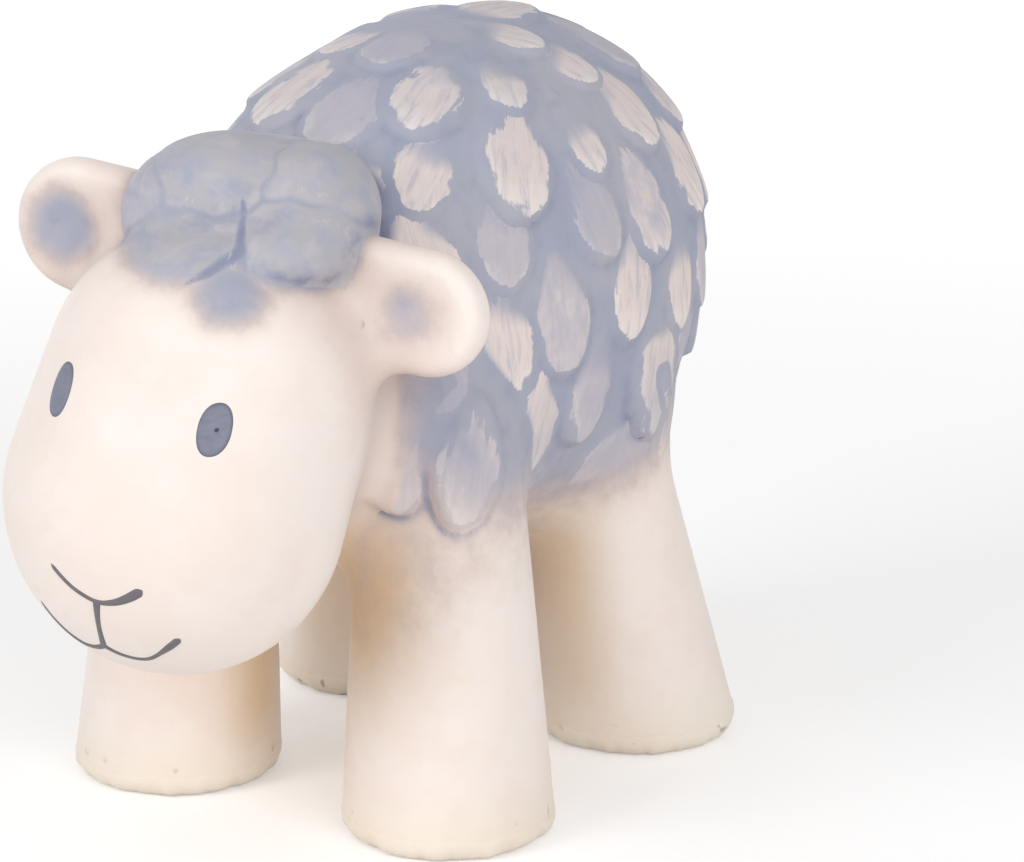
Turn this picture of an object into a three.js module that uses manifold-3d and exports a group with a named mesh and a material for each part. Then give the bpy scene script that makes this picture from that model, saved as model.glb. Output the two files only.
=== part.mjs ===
// A hollow rubber sheep for the bath: a woolly body on four stout legs, a big smooth head that is
// turned and tipped a little to its left, and a rattle ball that rolls loose inside the belly.
// Millimetres. +X is the sheep's left, -Y is the way it faces, +Z is up from the floor.

import * as THREE from "three";
import { mergeVertices } from "three/addons/utils/BufferGeometryUtils.js";
import Module from "manifold-3d";

const wasm = await Module();
wasm.setup();

// Driving dimensions: the rubber skin
const RUBBER_WALL = 3.0;
const GAP = 0.3; // left between pieces that a curved face parts

// Driving dimensions: the body, a plump rounded block
const BODY_HALF_WIDTH = 27.0;
const BODY_HALF_LENGTH = 36.0;
const BODY_HALF_HEIGHT = 30.5;
const BODY_SQUARENESS = 2.15; // 2 is an ellipsoid, more is blockier
const BELLY_HEIGHT = 24.5; // floor to the lowest point of the belly

// Driving dimensions: the fleece, rows of rounded locks that overlap like shingles
const LOCK_HEIGHT = 1.1;
const LOCK_VARIATION = 0.15; // share by which hand-made locks differ in height
const LOCK_ROWS = 7;
const LOCKS_ROUND = 24; // locks in a row at the widest place
const FLEECE_START = 6; // degrees down from the top of the back
const FLEECE_END = 118;

// Driving dimensions: the legs and their soles
const FOOT_RADIUS = 12.2;
const HIP_HEIGHT = 40.0;
const FOOT_SPREAD = 37.4; // between the middles of the left and right feet
const FRONT_FOOT_AHEAD = 28.0; // of the middle of the body
const REAR_FOOT_BEHIND = 12.0;
const FRONT_HIP = { radius: 9.0, side: 2.0, along: -1.6 }; // how far its foot stands outside it
const REAR_HIP = { radius: 7.2, side: 4.0, along: 4.4 };
const SOLE_THICKNESS = 2.0;
const SOLE_EDGE = 0.8; // rounding of a sole's lower edge
const PLUG_HEIGHT = 3.0; // how far a sole's plug stands up inside its leg

// Driving dimensions: the head, two spheres with a skin drawn over both
const MUZZLE_RADIUS = 18.5;
const CROWN_RADIUS = 17.9;
const CROWN_RISE = 10.9;
const CROWN_BACK = 5.4;
const HEAD_FLATTENING = 0.88; // front to back, against its width
const HEAD_AHEAD = 20.0; // middle of the muzzle in front of the body's front face
const HEAD_DROP = 12.6; // and below the middle of the body
const HEAD_SIDE = 3.0; // and to the sheep's left
const HEAD_TURN = 7.5; // degrees
const HEAD_TILT = 7.0;
const NECK_RADIUS = 13.0; // inside the head
const CHEST_RADIUS = 19.0; // where the neck's cone ends, inside the body
const NECK_RISE = 6.5; // middle of the neck above the middle of the muzzle

// Driving dimensions: the topknot, lobes of wool set out from the top of the crown
const TOPKNOT_LOBES = [
  { side: -4.2, back: 0.1, up: -0.7, half: [7.2, 6.5, 6.3] },
  { side: 7.4, back: 1.1, up: 1.2, half: [6.2, 6.5, 5.8] },
  { side: -2.2, back: 6.1, up: 1.8, half: [7.6, 7.5, 6.6] },
  { side: 7.6, back: 8.1, up: 2.2, half: [5.9, 7.0, 6.2] },
  { side: -8.6, back: 4.6, up: -0.4, half: [5.0, 6.5, 5.6] },
  { side: -0.3, back: 12.6, up: 1.2, half: [8.5, 7.5, 6.0] },
];

// Driving dimensions: the ears, dished tabs with round ends
const EAR_RADIUS = 7.3;
const EAR_THICKNESS = 3.4;
const EAR_DISH = 1.2;
const EAR_OUT = 21.7; // middle of an ear from the middle of the head
const EAR_UP = 23.3;
const EAR_BACK = 11.5;

// Driving dimensions: the painted face
const PAINT_THICKNESS = 0.3;
const EYE_OUT = 9.1;
const EYE_UP = 12.5;
const EYE_WIDTH = 3.9;
const EYE_HEIGHT = 5.5;
const EYE_LEAN = 15; // degrees, tops together
const MOUTH_LINE = 1.1;
const MOUTH_UP = -7.1; // where the lip lines meet, from the middle of the muzzle
const MOUTH_HEIGHT = 5.6; // of the upright stroke
const UPPER_LIP_HALF = 5.6;
const UPPER_LIP_LIFT = 2.6;
const LOWER_LIP_HALF = 7.4;
const LOWER_LIP_LIFT = 3.0;

// Driving dimensions: the tail, a flat lock on the rump
const TAIL_WIDTH = 9.0;
const TAIL_LENGTH = 14.0;
const TAIL_THICKNESS = 6.0;
const TAIL_POLAR = 80; // degrees down from the top of the back

// Driving dimensions: the rattle, a plastic ball in two halves with steel beads
const BALL_RADIUS = 11.0;
const BALL_WALL = 1.2;
const LIP_WALL = 0.8;
const LIP_HEIGHT = 1.2;
const BEAD_RADIUS = 2.3;
const BEAD_COUNT = 4;

// Fineness of the facets
const BODY_SEGMENTS = 48;
const HOLLOW_SEGMENTS = 24;
const HEAD_SEGMENTS = 36;
const LEG_SEGMENTS = 24;
const LOBE_SEGMENTS = 16;
const EAR_END_STEPS = 12;
const BALL_SEGMENTS = 18;
const BALL_ARC_STEPS = 7;
const BEAD_SEGMENTS = 10;
const STROKE_STEPS = 10;
const BELLY_RINGS = 6;
const COLUMN_STEPS = 4;
const FEWEST_LOCKS = 5; // in the row at the top of the back

// Places that follow from the sizes
const MIDDLE_HEIGHT = BELLY_HEIGHT + BODY_HALF_HEIGHT;
const HEAD_PLACE = new THREE.Vector3(
  HEAD_SIDE,
  -BODY_HALF_LENGTH - HEAD_AHEAD,
  MIDDLE_HEIGHT - HEAD_DROP,
);
const HEAD_ROTATION = new THREE.Euler(
  0,
  THREE.MathUtils.degToRad(HEAD_TILT),
  THREE.MathUtils.degToRad(HEAD_TURN),
  "ZYX",
);

const CREAM_RUBBER = { color: 0xf3e7de, roughness: 0.55, metalness: 0 };
const FLEECE_PAINT = { color: 0xabadbb, roughness: 0.7, metalness: 0 };
const DARK_PAINT = { color: 0x6c6f80, roughness: 0.6, metalness: 0 };
const CASE_PLASTIC = { color: 0xe8e4d8, roughness: 0.4, metalness: 0 };
const BEAD_STEEL = { color: 0x9a9da1, roughness: 0.3, metalness: 1 };

// A closed solid that can be cut and joined, from a closed geometry
function solidOf(geometry) {
  const bare = geometry.clone();
  bare.deleteAttribute("normal");
  bare.deleteAttribute("uv");
  const merged = mergeVertices(bare);
  const vertProperties = merged.attributes.position.array;
  const triVerts = Uint32Array.from(merged.index.array);
  return new wasm.Manifold(new wasm.Mesh({ numProp: 3, vertProperties, triVerts }));
}

function meshOf(name, solid, look) {
  const { vertProperties, triVerts } = solid.getMesh();
  const geometry = new THREE.BufferGeometry();
  geometry.setAttribute("position", new THREE.BufferAttribute(vertProperties, 3));
  geometry.setIndex(new THREE.BufferAttribute(triVerts, 1));
  const faceted = geometry.toNonIndexed();
  faceted.computeVertexNormals();
  const mesh = new THREE.Mesh(faceted, new THREE.MeshStandardMaterial(look));
  mesh.name = name;
  return mesh;
}

// The triangles between an upper and a lower ring, either of which may be a single point. Where
// both are level with each other, the shorter diagonal parts them.
function bandBetween(upper, lower, face) {
  const upperSteps = upper.length > 1 ? upper.length : 0;
  const lowerSteps = lower.length > 1 ? lower.length : 0;
  let i = 0;
  let j = 0;
  while (i < upperSteps || j < lowerSteps) {
    const a = upper[i % upper.length];
    const b = lower[j % lower.length];
    const nextUpper = upper[(i + 1) % upper.length];
    const nextLower = lower[(j + 1) % lower.length];
    const lead = (i + 1) / upper.length - (j + 1) / lower.length;
    const upperIsNext = lead === 0 ? nextUpper.distanceTo(b) < nextLower.distanceTo(a) : lead < 0;
    if (j >= lowerSteps || (i < upperSteps && upperIsNext)) {
      face(a, b, nextUpper);
      i += 1;
    } else {
      face(a, b, nextLower);
      j += 1;
    }
  }
}

// One closed skin over a stack of rings from the top down, each running anticlockwise seen from
// the top. Rings may differ in count, and the first and last are single points.
function skinOver(rings) {
  const corners = [];
  const face = (a, b, c) => corners.push(...a.toArray(), ...b.toArray(), ...c.toArray());
  for (let level = 0; level + 1 < rings.length; level++) {
    bandBetween(rings[level], rings[level + 1], face);
  }
  const geometry = new THREE.BufferGeometry();
  geometry.setAttribute("position", new THREE.Float32BufferAttribute(corners, 3));
  return geometry;
}

// Evenly spaced points on a level circle
function levelRing(centreX, centreY, height, radius, count) {
  return Array.from({ length: count }, (_, k) => {
    const turn = (k / count) * 2 * Math.PI;
    const x = centreX + radius * Math.cos(turn);
    const y = centreY + radius * Math.sin(turn);
    return new THREE.Vector3(x, y, height);
  });
}

// A point of the body's surface, polar degrees down from the top and turn radians round from the
// sheep's left, raised by a distance along the surface's normal
function bodyPoint(polar, turn, raise) {
  const down = THREE.MathUtils.degToRad(polar);
  const half = [BODY_HALF_WIDTH, BODY_HALF_LENGTH, BODY_HALF_HEIGHT];
  const way = [
    Math.sin(down) * Math.cos(turn),
    Math.sin(down) * Math.sin(turn),
    Math.cos(down),
  ];
  const sum = way.reduce((total, w) => total + Math.abs(w) ** BODY_SQUARENESS, 0);
  const unit = way.map((w) => w * sum ** (-1 / BODY_SQUARENESS));
  const slope = unit.map((u, k) => (Math.sign(u) * Math.abs(u) ** (BODY_SQUARENESS - 1)) / half[k]);
  const point = new THREE.Vector3(...unit.map((u, k) => u * half[k]));
  point.addScaledVector(new THREE.Vector3(...slope).normalize(), raise);
  return point.add(new THREE.Vector3(0, 0, MIDDLE_HEIGHT));
}

function bodyRing(polar, raise, count) {
  return Array.from({ length: count }, (_, k) => {
    return bodyPoint(polar, (k / count) * 2 * Math.PI, raise);
  });
}

// A plain skin round the body, raised by raiseAt(polar)
function smoothBody(raiseAt, segments) {
  const bands = segments / 2;
  const rings = [];
  for (let k = 0; k <= bands; k++) {
    const polar = (k / bands) * 180;
    rings.push(bodyRing(polar, raiseAt(polar), k % bands === 0 ? 1 : segments));
  }
  return solidOf(skinOver(rings));
}

const ROW_STEP = (FLEECE_END - FLEECE_START) / LOCK_ROWS;
const FLEECE_EDGE = FLEECE_END + ROW_STEP / 4; // below the tips of the last row

// How a lock swells along its length, from under the row above to its tip
const LOCK_BANDS = [
  { along: 0.52, hang: 0.1, swell: 0.75 },
  { along: 0.8, hang: 0.3, swell: 1 },
  { along: 0.88, hang: 0.3, swell: 0 },
];

// And across its width: the groove beside it, a flank, the crest and the other flank
const LOCK_COLUMNS = [0, 0.85, 1, 0.85];

// The height of one lock, full or up to the variation less, with no order that shows
function lockHeight(row, lock) {
  const wave = (1 + Math.sin(lock * 2.4 + row * 1.7)) / 2;
  return LOCK_HEIGHT * (1 - LOCK_VARIATION * wave);
}

// The rings of one row of locks, whose tips hang lower in the middle
function fleeceRow(row) {
  const start = FLEECE_START + row * ROW_STEP;
  const middle = THREE.MathUtils.degToRad(start + ROW_STEP / 2);
  const locks = Math.max(FEWEST_LOCKS, Math.round(LOCKS_ROUND * Math.sin(middle)));
  const stagger = (row % 2) / 2;
  return LOCK_BANDS.map(({ along, hang, swell }) => {
    const ring = [];
    for (let lock = 0; lock < locks; lock++) {
      const height = lockHeight(row, lock);
      LOCK_COLUMNS.forEach((full, column) => {
        const turn = ((lock + stagger + column / LOCK_COLUMNS.length) / locks) * 2 * Math.PI;
        const polar = start + (along + hang * full) * ROW_STEP;
        ring.push(bodyPoint(polar, turn, height * swell * full));
      });
    }
    return ring;
  });
}

function woollyBody() {
  const rings = [bodyRing(0, LOCK_HEIGHT / 2, 1)];
  for (let row = 0; row < LOCK_ROWS; row++) rings.push(...fleeceRow(row));
  for (let k = 1; k < BELLY_RINGS; k++) {
    const polar = THREE.MathUtils.lerp(FLEECE_EDGE, 180, k / BELLY_RINGS);
    rings.push(bodyRing(polar, 0, BODY_SEGMENTS));
  }
  rings.push(bodyRing(180, 0, 1));
  return solidOf(skinOver(rings));
}

// What the neighbours of the body are cut by: its outside with the locks' full height and the gap
const bodyCutter = smoothBody((polar) => {
  return GAP + (polar < FLEECE_EDGE ? LOCK_HEIGHT : 0);
}, BODY_SEGMENTS);

const LEGS = [
  { name: "front_left", side: 1, footY: -FRONT_FOOT_AHEAD, hip: FRONT_HIP },
  { name: "front_right", side: -1, footY: -FRONT_FOOT_AHEAD, hip: FRONT_HIP },
  { name: "rear_left", side: 1, footY: REAR_FOOT_BEHIND, hip: REAR_HIP },
  { name: "rear_right", side: -1, footY: REAR_FOOT_BEHIND, hip: REAR_HIP },
];

function legRadius(leg, height) {
  return THREE.MathUtils.mapLinear(height, 0, HIP_HEIGHT, FOOT_RADIUS, leg.hip.radius);
}

// A level ring of a leg, which leans out from its hip to its foot
function legRing(leg, height, radius, count = LEG_SEGMENTS) {
  const lean = height / HIP_HEIGHT;
  const x = leg.side * (FOOT_SPREAD / 2 - leg.hip.side * lean);
  const y = leg.footY - leg.hip.along * lean;
  return levelRing(x, y, height, radius, count);
}

// A leg's skin from its domed top, taken in all round by an inset, down to a flat bottom
function legColumn(leg, inset, bottom) {
  const dome = leg.hip.radius - inset;
  const rings = [legRing(leg, HIP_HEIGHT + dome, 0, 1)];
  for (const angle of [60, 30]) {
    const rise = THREE.MathUtils.degToRad(angle);
    rings.push(legRing(leg, HIP_HEIGHT + dome * Math.sin(rise), dome * Math.cos(rise)));
  }
  for (let k = 0; k <= COLUMN_STEPS; k++) {
    const height = THREE.MathUtils.lerp(HIP_HEIGHT, bottom, k / COLUMN_STEPS);
    rings.push(legRing(leg, height, legRadius(leg, height) - inset));
  }
  rings.push(legRing(leg, bottom, 0, 1));
  return solidOf(skinOver(rings));
}

function legBore(leg) {
  return legColumn(leg, RUBBER_WALL, SOLE_THICKNESS / 2);
}

// A disc that closes a leg from below, with a plug that stands up inside the leg's bore
function makeSole(leg) {
  const plugTop = SOLE_THICKNESS + PLUG_HEIGHT;
  const inBore = (height) => legRadius(leg, height) - RUBBER_WALL - GAP;
  const rings = [
    legRing(leg, plugTop, 0, 1),
    legRing(leg, plugTop, inBore(plugTop)),
    legRing(leg, SOLE_THICKNESS, inBore(plugTop)),
    legRing(leg, SOLE_THICKNESS, legRadius(leg, SOLE_THICKNESS)),
    legRing(leg, SOLE_EDGE, legRadius(leg, SOLE_EDGE)),
    legRing(leg, 0, legRadius(leg, 0) - SOLE_EDGE),
    legRing(leg, 0, 0, 1),
  ];
  return meshOf("sole_" + leg.name, solidOf(skinOver(rings)), CREAM_RUBBER);
}

const headMatrix = new THREE.Matrix4().compose(
  HEAD_PLACE,
  new THREE.Quaternion().setFromEuler(HEAD_ROTATION),
  new THREE.Vector3(1, 1, 1),
);
const intoHead = headMatrix.clone().invert();

function moved(solid, matrix) {
  return solid.transform([...matrix.elements]);
}

// A point of the smooth head in its own frame, polar radians down from the crown, on the crown's
// sphere or the muzzle's, raised by a distance along the surface's normal
function headSpherePoint(polar, turn, raise, onCrown) {
  const axis = new THREE.Vector3(0, CROWN_BACK / HEAD_FLATTENING, CROWN_RISE);
  const up = axis.clone().normalize();
  const across = new THREE.Vector3(1, 0, 0);
  const normal = new THREE.Vector3()
    .addScaledVector(up, Math.cos(polar))
    .addScaledVector(across, Math.sin(polar) * Math.cos(turn))
    .addScaledVector(up.clone().cross(across), Math.sin(polar) * Math.sin(turn));
  const point = normal.clone().multiplyScalar(onCrown ? CROWN_RADIUS : MUZZLE_RADIUS);
  if (onCrown) point.add(axis);
  point.y *= HEAD_FLATTENING;
  normal.y /= HEAD_FLATTENING;
  return point.addScaledVector(normal.normalize(), raise);
}

// The egg of the head, raised all over by a distance
function headEgg(raise, segments) {
  const axisLength = Math.hypot(CROWN_BACK / HEAD_FLATTENING, CROWN_RISE);
  const seam = Math.acos((MUZZLE_RADIUS - CROWN_RADIUS) / axisLength);
  const steps = Math.round(segments / 5);
  const rings = [];
  const addRing = (polar, onCrown, count) => {
    rings.push(Array.from({ length: count }, (_, k) => {
      return headSpherePoint(polar, (k / count) * 2 * Math.PI, raise, onCrown);
    }));
  };
  for (let k = 0; k <= steps; k++) addRing((k / steps) * seam, true, k === 0 ? 1 : segments);
  for (let k = 0; k <= steps; k++) {
    const polar = THREE.MathUtils.lerp(seam, Math.PI, k / steps);
    addRing(polar, false, k === steps ? 1 : segments);
  }
  return solidOf(skinOver(rings));
}

// A round cone along the neck, from the middle of the head back to inside the body
function neckCone(radiusInHead, radiusInBody) {
  const length = HEAD_AHEAD + BODY_HALF_LENGTH / 2;
  const cone = new THREE.CylinderGeometry(radiusInBody, radiusInHead, length, HEAD_SEGMENTS);
  return solidOf(cone.translate(0, length / 2, NECK_RISE));
}

const neckBore = neckCone(NECK_RADIUS - RUBBER_WALL, NECK_RADIUS - RUBBER_WALL);

const headAndGap = headEgg(GAP, HEAD_SEGMENTS);
const bodyCutterInHead = moved(bodyCutter, intoHead);

const neckCutter = moved(neckCone(NECK_RADIUS + GAP, CHEST_RADIUS + GAP), headMatrix);

function makeLeg(leg) {
  const column = legColumn(leg, 0, SOLE_THICKNESS).subtract(legBore(leg));
  return meshOf("leg_" + leg.name, column.subtract(bodyCutter).subtract(neckCutter), CREAM_RUBBER);
}

function makeHeadShell() {
  const outside = headEgg(0, HEAD_SEGMENTS).add(neckCone(NECK_RADIUS, CHEST_RADIUS));
  const inside = headEgg(-RUBBER_WALL, HOLLOW_SEGMENTS).add(neckBore);
  return meshOf("head_shell", outside.subtract(inside).subtract(bodyCutterInHead), CREAM_RUBBER);
}

function makeBodyShell() {
  const hollow = smoothBody(() => -RUBBER_WALL, HOLLOW_SEGMENTS);
  let shell = woollyBody().subtract(hollow);
  for (const leg of LEGS) shell = shell.subtract(legBore(leg));
  shell = shell.subtract(moved(neckBore, headMatrix));
  return meshOf("body_shell", shell, FLEECE_PAINT);
}

// The lobes of the topknot, each swollen by a distance
function topknotLobes(swelling) {
  const crown = new THREE.Vector3(0, CROWN_BACK, CROWN_RISE + CROWN_RADIUS);
  const lobes = TOPKNOT_LOBES.map(({ side, back, up, half }) => {
    const lobe = new THREE.SphereGeometry(1, LOBE_SEGMENTS, LOBE_SEGMENTS / 2 + 2);
    lobe.scale(...half.map((h) => h + swelling));
    return solidOf(lobe.translate(crown.x + side, crown.y + back, crown.z + up));
  });
  return lobes.reduce((joined, lobe) => joined.add(lobe));
}

// The biggest of the bodies that a cut leaves
function largest(solid) {
  return solid.decompose().reduce((most, body) => (body.volume() > most.volume() ? body : most));
}

function makeTopknot() {
  const wool = topknotLobes(0).subtract(headAndGap).subtract(bodyCutterInHead);
  return meshOf("topknot", largest(wool), FLEECE_PAINT);
}

// The ear's outline in the plane of its face: a round end, and straight sides that run into the head
function earOutline(side) {
  const points = [];
  for (let k = 0; k <= EAR_END_STEPS; k++) {
    const turn = (k / EAR_END_STEPS - 0.5) * Math.PI;
    points.push([EAR_RADIUS * Math.cos(turn), EAR_RADIUS * Math.sin(turn)]);
  }
  const root = EAR_OUT - CROWN_RADIUS / 2;
  points.push([-root, EAR_RADIUS], [-root, -EAR_RADIUS]);
  return side > 0 ? points : points.map(([x, z]) => [-x, z]).reverse();
}

// Rings of an ear from the middle of its dished front, over its rounded rim, to its back
const EAR_RINGS = [
  { share: 0, forward: 0.5, dish: 1 },
  { share: 0.55, forward: 0.5, dish: 0.55 },
  { share: 0.86, forward: 0.5, dish: 0 },
  { share: 1, forward: 0.2, dish: 0 },
  { share: 1, forward: -0.2, dish: 0 },
  { share: 0.8, forward: -0.5, dish: 0 },
  { share: 0, forward: -0.5, dish: 0 },
];

function makeEar(name, side) {
  const outline = earOutline(side);
  const rings = EAR_RINGS.map(({ share, forward, dish }) => {
    const y = -EAR_THICKNESS * forward + EAR_DISH * dish;
    if (share === 0) return [new THREE.Vector3(0, y, 0)];
    return outline.map(([x, z]) => new THREE.Vector3(x * share, y, z * share));
  });
  const tab = skinOver(rings).translate(side * EAR_OUT, EAR_BACK, EAR_UP);
  const ear = solidOf(tab)
    .subtract(headAndGap)
    .subtract(topknotLobes(GAP))
    .subtract(bodyCutterInHead);
  return meshOf(name, largest(ear), CREAM_RUBBER);
}

// A film of paint with a given outline, laid over the front of the head
const paintLayer = headEgg(GAP + PAINT_THICKNESS, HEAD_SEGMENTS).subtract(headAndGap);

function paintFilm(shapes) {
  const depth = 2 * MUZZLE_RADIUS;
  const stamps = shapes.map((shape) => {
    const settings = { depth, bevelEnabled: false, curveSegments: STROKE_STEPS };
    const stamp = new THREE.ExtrudeGeometry(shape, settings);
    return solidOf(stamp.rotateX(Math.PI / 2));
  });
  return stamps.reduce((joined, stamp) => joined.add(stamp)).intersect(paintLayer);
}

function makeEye(name, side) {
  const lean = THREE.MathUtils.degToRad(EYE_LEAN) * side;
  const outline = new THREE.Shape();
  outline.absellipse(side * EYE_OUT, EYE_UP, EYE_WIDTH / 2, EYE_HEIGHT / 2, 0, 2 * Math.PI, false, lean);
  return meshOf(name, paintFilm([outline]), DARK_PAINT);
}

// The outline of a brush line of even width along a curve
function brushLine(curve) {
  const left = [];
  const right = [];
  for (let k = 0; k <= STROKE_STEPS; k++) {
    const point = curve.getPoint(k / STROKE_STEPS);
    const along = curve.getTangent(k / STROKE_STEPS);
    const aside = new THREE.Vector2(-along.y, along.x).multiplyScalar(MOUTH_LINE / 2);
    left.push(point.clone().add(aside));
    right.unshift(point.clone().sub(aside));
  }
  return new THREE.Shape([...left, ...right]);
}

// A line that dips to a lowest point on the middle of the face and rises by a lift on both sides
function lipCurve(half, lowest, lift) {
  return new THREE.QuadraticBezierCurve(
    new THREE.Vector2(-half, lowest + lift),
    new THREE.Vector2(0, lowest - lift),
    new THREE.Vector2(half, lowest + lift),
  );
}

function makeMouth() {
  const chin = MOUTH_UP - MOUTH_HEIGHT;
  const upright = new THREE.LineCurve(new THREE.Vector2(0, MOUTH_UP), new THREE.Vector2(0, chin));
  const strokes = [
    lipCurve(UPPER_LIP_HALF, MOUTH_UP, UPPER_LIP_LIFT),
    upright,
    lipCurve(LOWER_LIP_HALF, chin, LOWER_LIP_LIFT),
  ];
  return meshOf("mouth_line", paintFilm(strokes.map(brushLine)), DARK_PAINT);
}

function makeTail() {
  const pad = new THREE.SphereGeometry(1, LOBE_SEGMENTS, LOBE_SEGMENTS);
  pad.scale(TAIL_WIDTH / 2, TAIL_THICKNESS / 2, TAIL_LENGTH / 2);
  const seat = bodyPoint(TAIL_POLAR, Math.PI / 2, LOCK_HEIGHT);
  return meshOf("tail", solidOf(pad.translate(...seat)).subtract(bodyCutter), FLEECE_PAINT);
}

// Points along an arc about the ball's middle, from one angle above the level to another
function arc(radius, from, to) {
  return Array.from({ length: BALL_ARC_STEPS + 1 }, (_, k) => {
    const angle = THREE.MathUtils.degToRad(THREE.MathUtils.lerp(from, to, k / BALL_ARC_STEPS));
    return new THREE.Vector2(radius * Math.cos(angle), radius * Math.sin(angle));
  });
}

// A round piece from its profile of radius and height, which runs from the axis back to it
function turned(profile) {
  const onAxis = profile.map((p) => new THREE.Vector2(Math.max(p.x, 0), p.y));
  onAxis[0].x = 0;
  onAxis[onAxis.length - 1].x = 0;
  return solidOf(new THREE.LatheGeometry(onAxis, BALL_SEGMENTS).rotateX(Math.PI / 2));
}

const BALL_INSIDE = BALL_RADIUS - BALL_WALL;

// The lower half of the ball carries a lip that stands up inside the upper half
function makeLowerCase() {
  const lipOutside = BALL_INSIDE - GAP;
  const lipInside = lipOutside - LIP_WALL;
  const lipFoot = -THREE.MathUtils.radToDeg(Math.acos(lipInside / BALL_INSIDE));
  const profile = [
    ...arc(BALL_RADIUS, -90, 0),
    new THREE.Vector2(lipOutside, 0),
    new THREE.Vector2(lipOutside, LIP_HEIGHT),
    new THREE.Vector2(lipInside, LIP_HEIGHT),
    ...arc(BALL_INSIDE, lipFoot, -90),
  ];
  return meshOf("rattle_case_lower", turned(profile), CASE_PLASTIC);
}

function makeUpperCase() {
  const profile = [...arc(BALL_INSIDE, 90, 0), ...arc(BALL_RADIUS, 0, 90)];
  return meshOf("rattle_case_upper", turned(profile), CASE_PLASTIC);
}

// Beads side by side in a ring on the floor of the ball
function makeBeads() {
  const facetShare = Math.cos(Math.PI / BALL_SEGMENTS) ** 2;
  const reach = BALL_INSIDE * facetShare - BEAD_RADIUS - GAP;
  const ringRadius = (BEAD_RADIUS + GAP / 2) / Math.sin(Math.PI / BEAD_COUNT);
  const drop = Math.sqrt(reach ** 2 - ringRadius ** 2);
  return Array.from({ length: BEAD_COUNT }, (_, k) => {
    const ball = new THREE.SphereGeometry(BEAD_RADIUS, BEAD_SEGMENTS, BEAD_SEGMENTS - 2);
    const bead = meshOf("bead_" + (k + 1), solidOf(ball), BEAD_STEEL);
    const turn = ((k + 0.5) / BEAD_COUNT) * 2 * Math.PI;
    bead.position.set(ringRadius * Math.cos(turn), ringRadius * Math.sin(turn), -drop);
    return bead;
  });
}

const head = new THREE.Group();
head.position.copy(HEAD_PLACE);
head.rotation.copy(HEAD_ROTATION);
head.add(makeHeadShell(), makeTopknot(), makeEar("ear_left", 1), makeEar("ear_right", -1));
head.add(makeEye("eye_left", 1), makeEye("eye_right", -1), makeMouth());

const rattle = new THREE.Group();
rattle.position.z = BELLY_HEIGHT + RUBBER_WALL + GAP + BALL_RADIUS;
rattle.add(makeLowerCase(), makeUpperCase(), ...makeBeads());

// The finished sheep stands with its origin on the floor, below the middle of its outline
const sheep = new THREE.Group();
sheep.add(makeBodyShell(), makeTail(), ...LEGS.map(makeLeg), ...LEGS.map(makeSole), head, rattle);
sheep.updateMatrixWorld(true);
const outline = new THREE.Box3().setFromObject(sheep, true);
const middle = outline.getCenter(new THREE.Vector3());
sheep.position.set(-middle.x, -middle.y, -outline.min.z);

export default sheep;
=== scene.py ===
"""A hand-painted hollow rubber sheep for the bath.

The sheep stands on four stout legs, with a fleece of rounded locks, a topknot, a smooth head that is
turned and tipped a little to its left, and a rattle ball that rolls loose in the belly.

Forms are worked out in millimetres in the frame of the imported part, and turned into metres where a
mesh is made. The skin is one surface that flows over body, legs, neck, head, ears and topknot. It is
then parted along its creases into one piece for each of them.
"""

import logging
import math
from dataclasses import dataclass, field
from enum import Enum
from functools import cache
from typing import Any

import bpy
import numpy as np
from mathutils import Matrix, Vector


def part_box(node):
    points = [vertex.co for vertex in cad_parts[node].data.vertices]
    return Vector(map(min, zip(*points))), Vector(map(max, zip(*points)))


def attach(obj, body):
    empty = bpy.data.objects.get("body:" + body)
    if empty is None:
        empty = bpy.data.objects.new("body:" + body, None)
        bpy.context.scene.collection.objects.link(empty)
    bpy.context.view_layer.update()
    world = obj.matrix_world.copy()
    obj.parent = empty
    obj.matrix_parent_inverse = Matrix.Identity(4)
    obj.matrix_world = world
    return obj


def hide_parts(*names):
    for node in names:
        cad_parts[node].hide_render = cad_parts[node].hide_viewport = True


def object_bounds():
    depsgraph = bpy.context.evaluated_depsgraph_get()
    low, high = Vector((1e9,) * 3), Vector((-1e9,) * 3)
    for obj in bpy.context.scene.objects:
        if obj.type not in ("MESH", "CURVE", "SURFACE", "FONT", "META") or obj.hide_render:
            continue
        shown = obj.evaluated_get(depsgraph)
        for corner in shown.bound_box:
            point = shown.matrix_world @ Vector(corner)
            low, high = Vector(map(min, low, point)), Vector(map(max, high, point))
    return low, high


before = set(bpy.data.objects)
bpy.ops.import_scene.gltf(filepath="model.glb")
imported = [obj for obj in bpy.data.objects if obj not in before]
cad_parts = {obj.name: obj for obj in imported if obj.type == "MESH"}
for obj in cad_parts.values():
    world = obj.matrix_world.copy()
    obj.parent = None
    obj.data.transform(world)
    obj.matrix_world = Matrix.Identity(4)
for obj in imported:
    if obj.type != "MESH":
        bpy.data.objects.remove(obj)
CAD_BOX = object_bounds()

import openvdb
from mathutils import Vector

LOG = logging.getLogger("sheep")
MM = 0.001
Array = np.ndarray
Rgba = tuple[float, float, float, float]
WHITE = (1.0, 1.0, 1.0, 1.0)
Material = bpy.types.Material
Mesh = bpy.types.Mesh


def srgb(red: int, green: int, blue: int) -> Rgba:
    """A colour given as a screen shows it, from 0 to 255, as Blender's linear values.

    Args:
        red: The red part.
        green: The green part.
        blue: The blue part.

    Returns:
        The linear colour with an alpha of 1.
    """

    def linear(part: int) -> float:
        """One part of the colour, made linear."""
        share = part / 255
        return share / 12.92 if share <= 0.04045 else ((share + 0.055) / 1.055) ** 2.4

    return (linear(red), linear(green), linear(blue), 1.0)


class Side(Enum):
    """A side of the sheep, with its sign along X."""

    LEFT = 1
    RIGHT = -1


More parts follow.
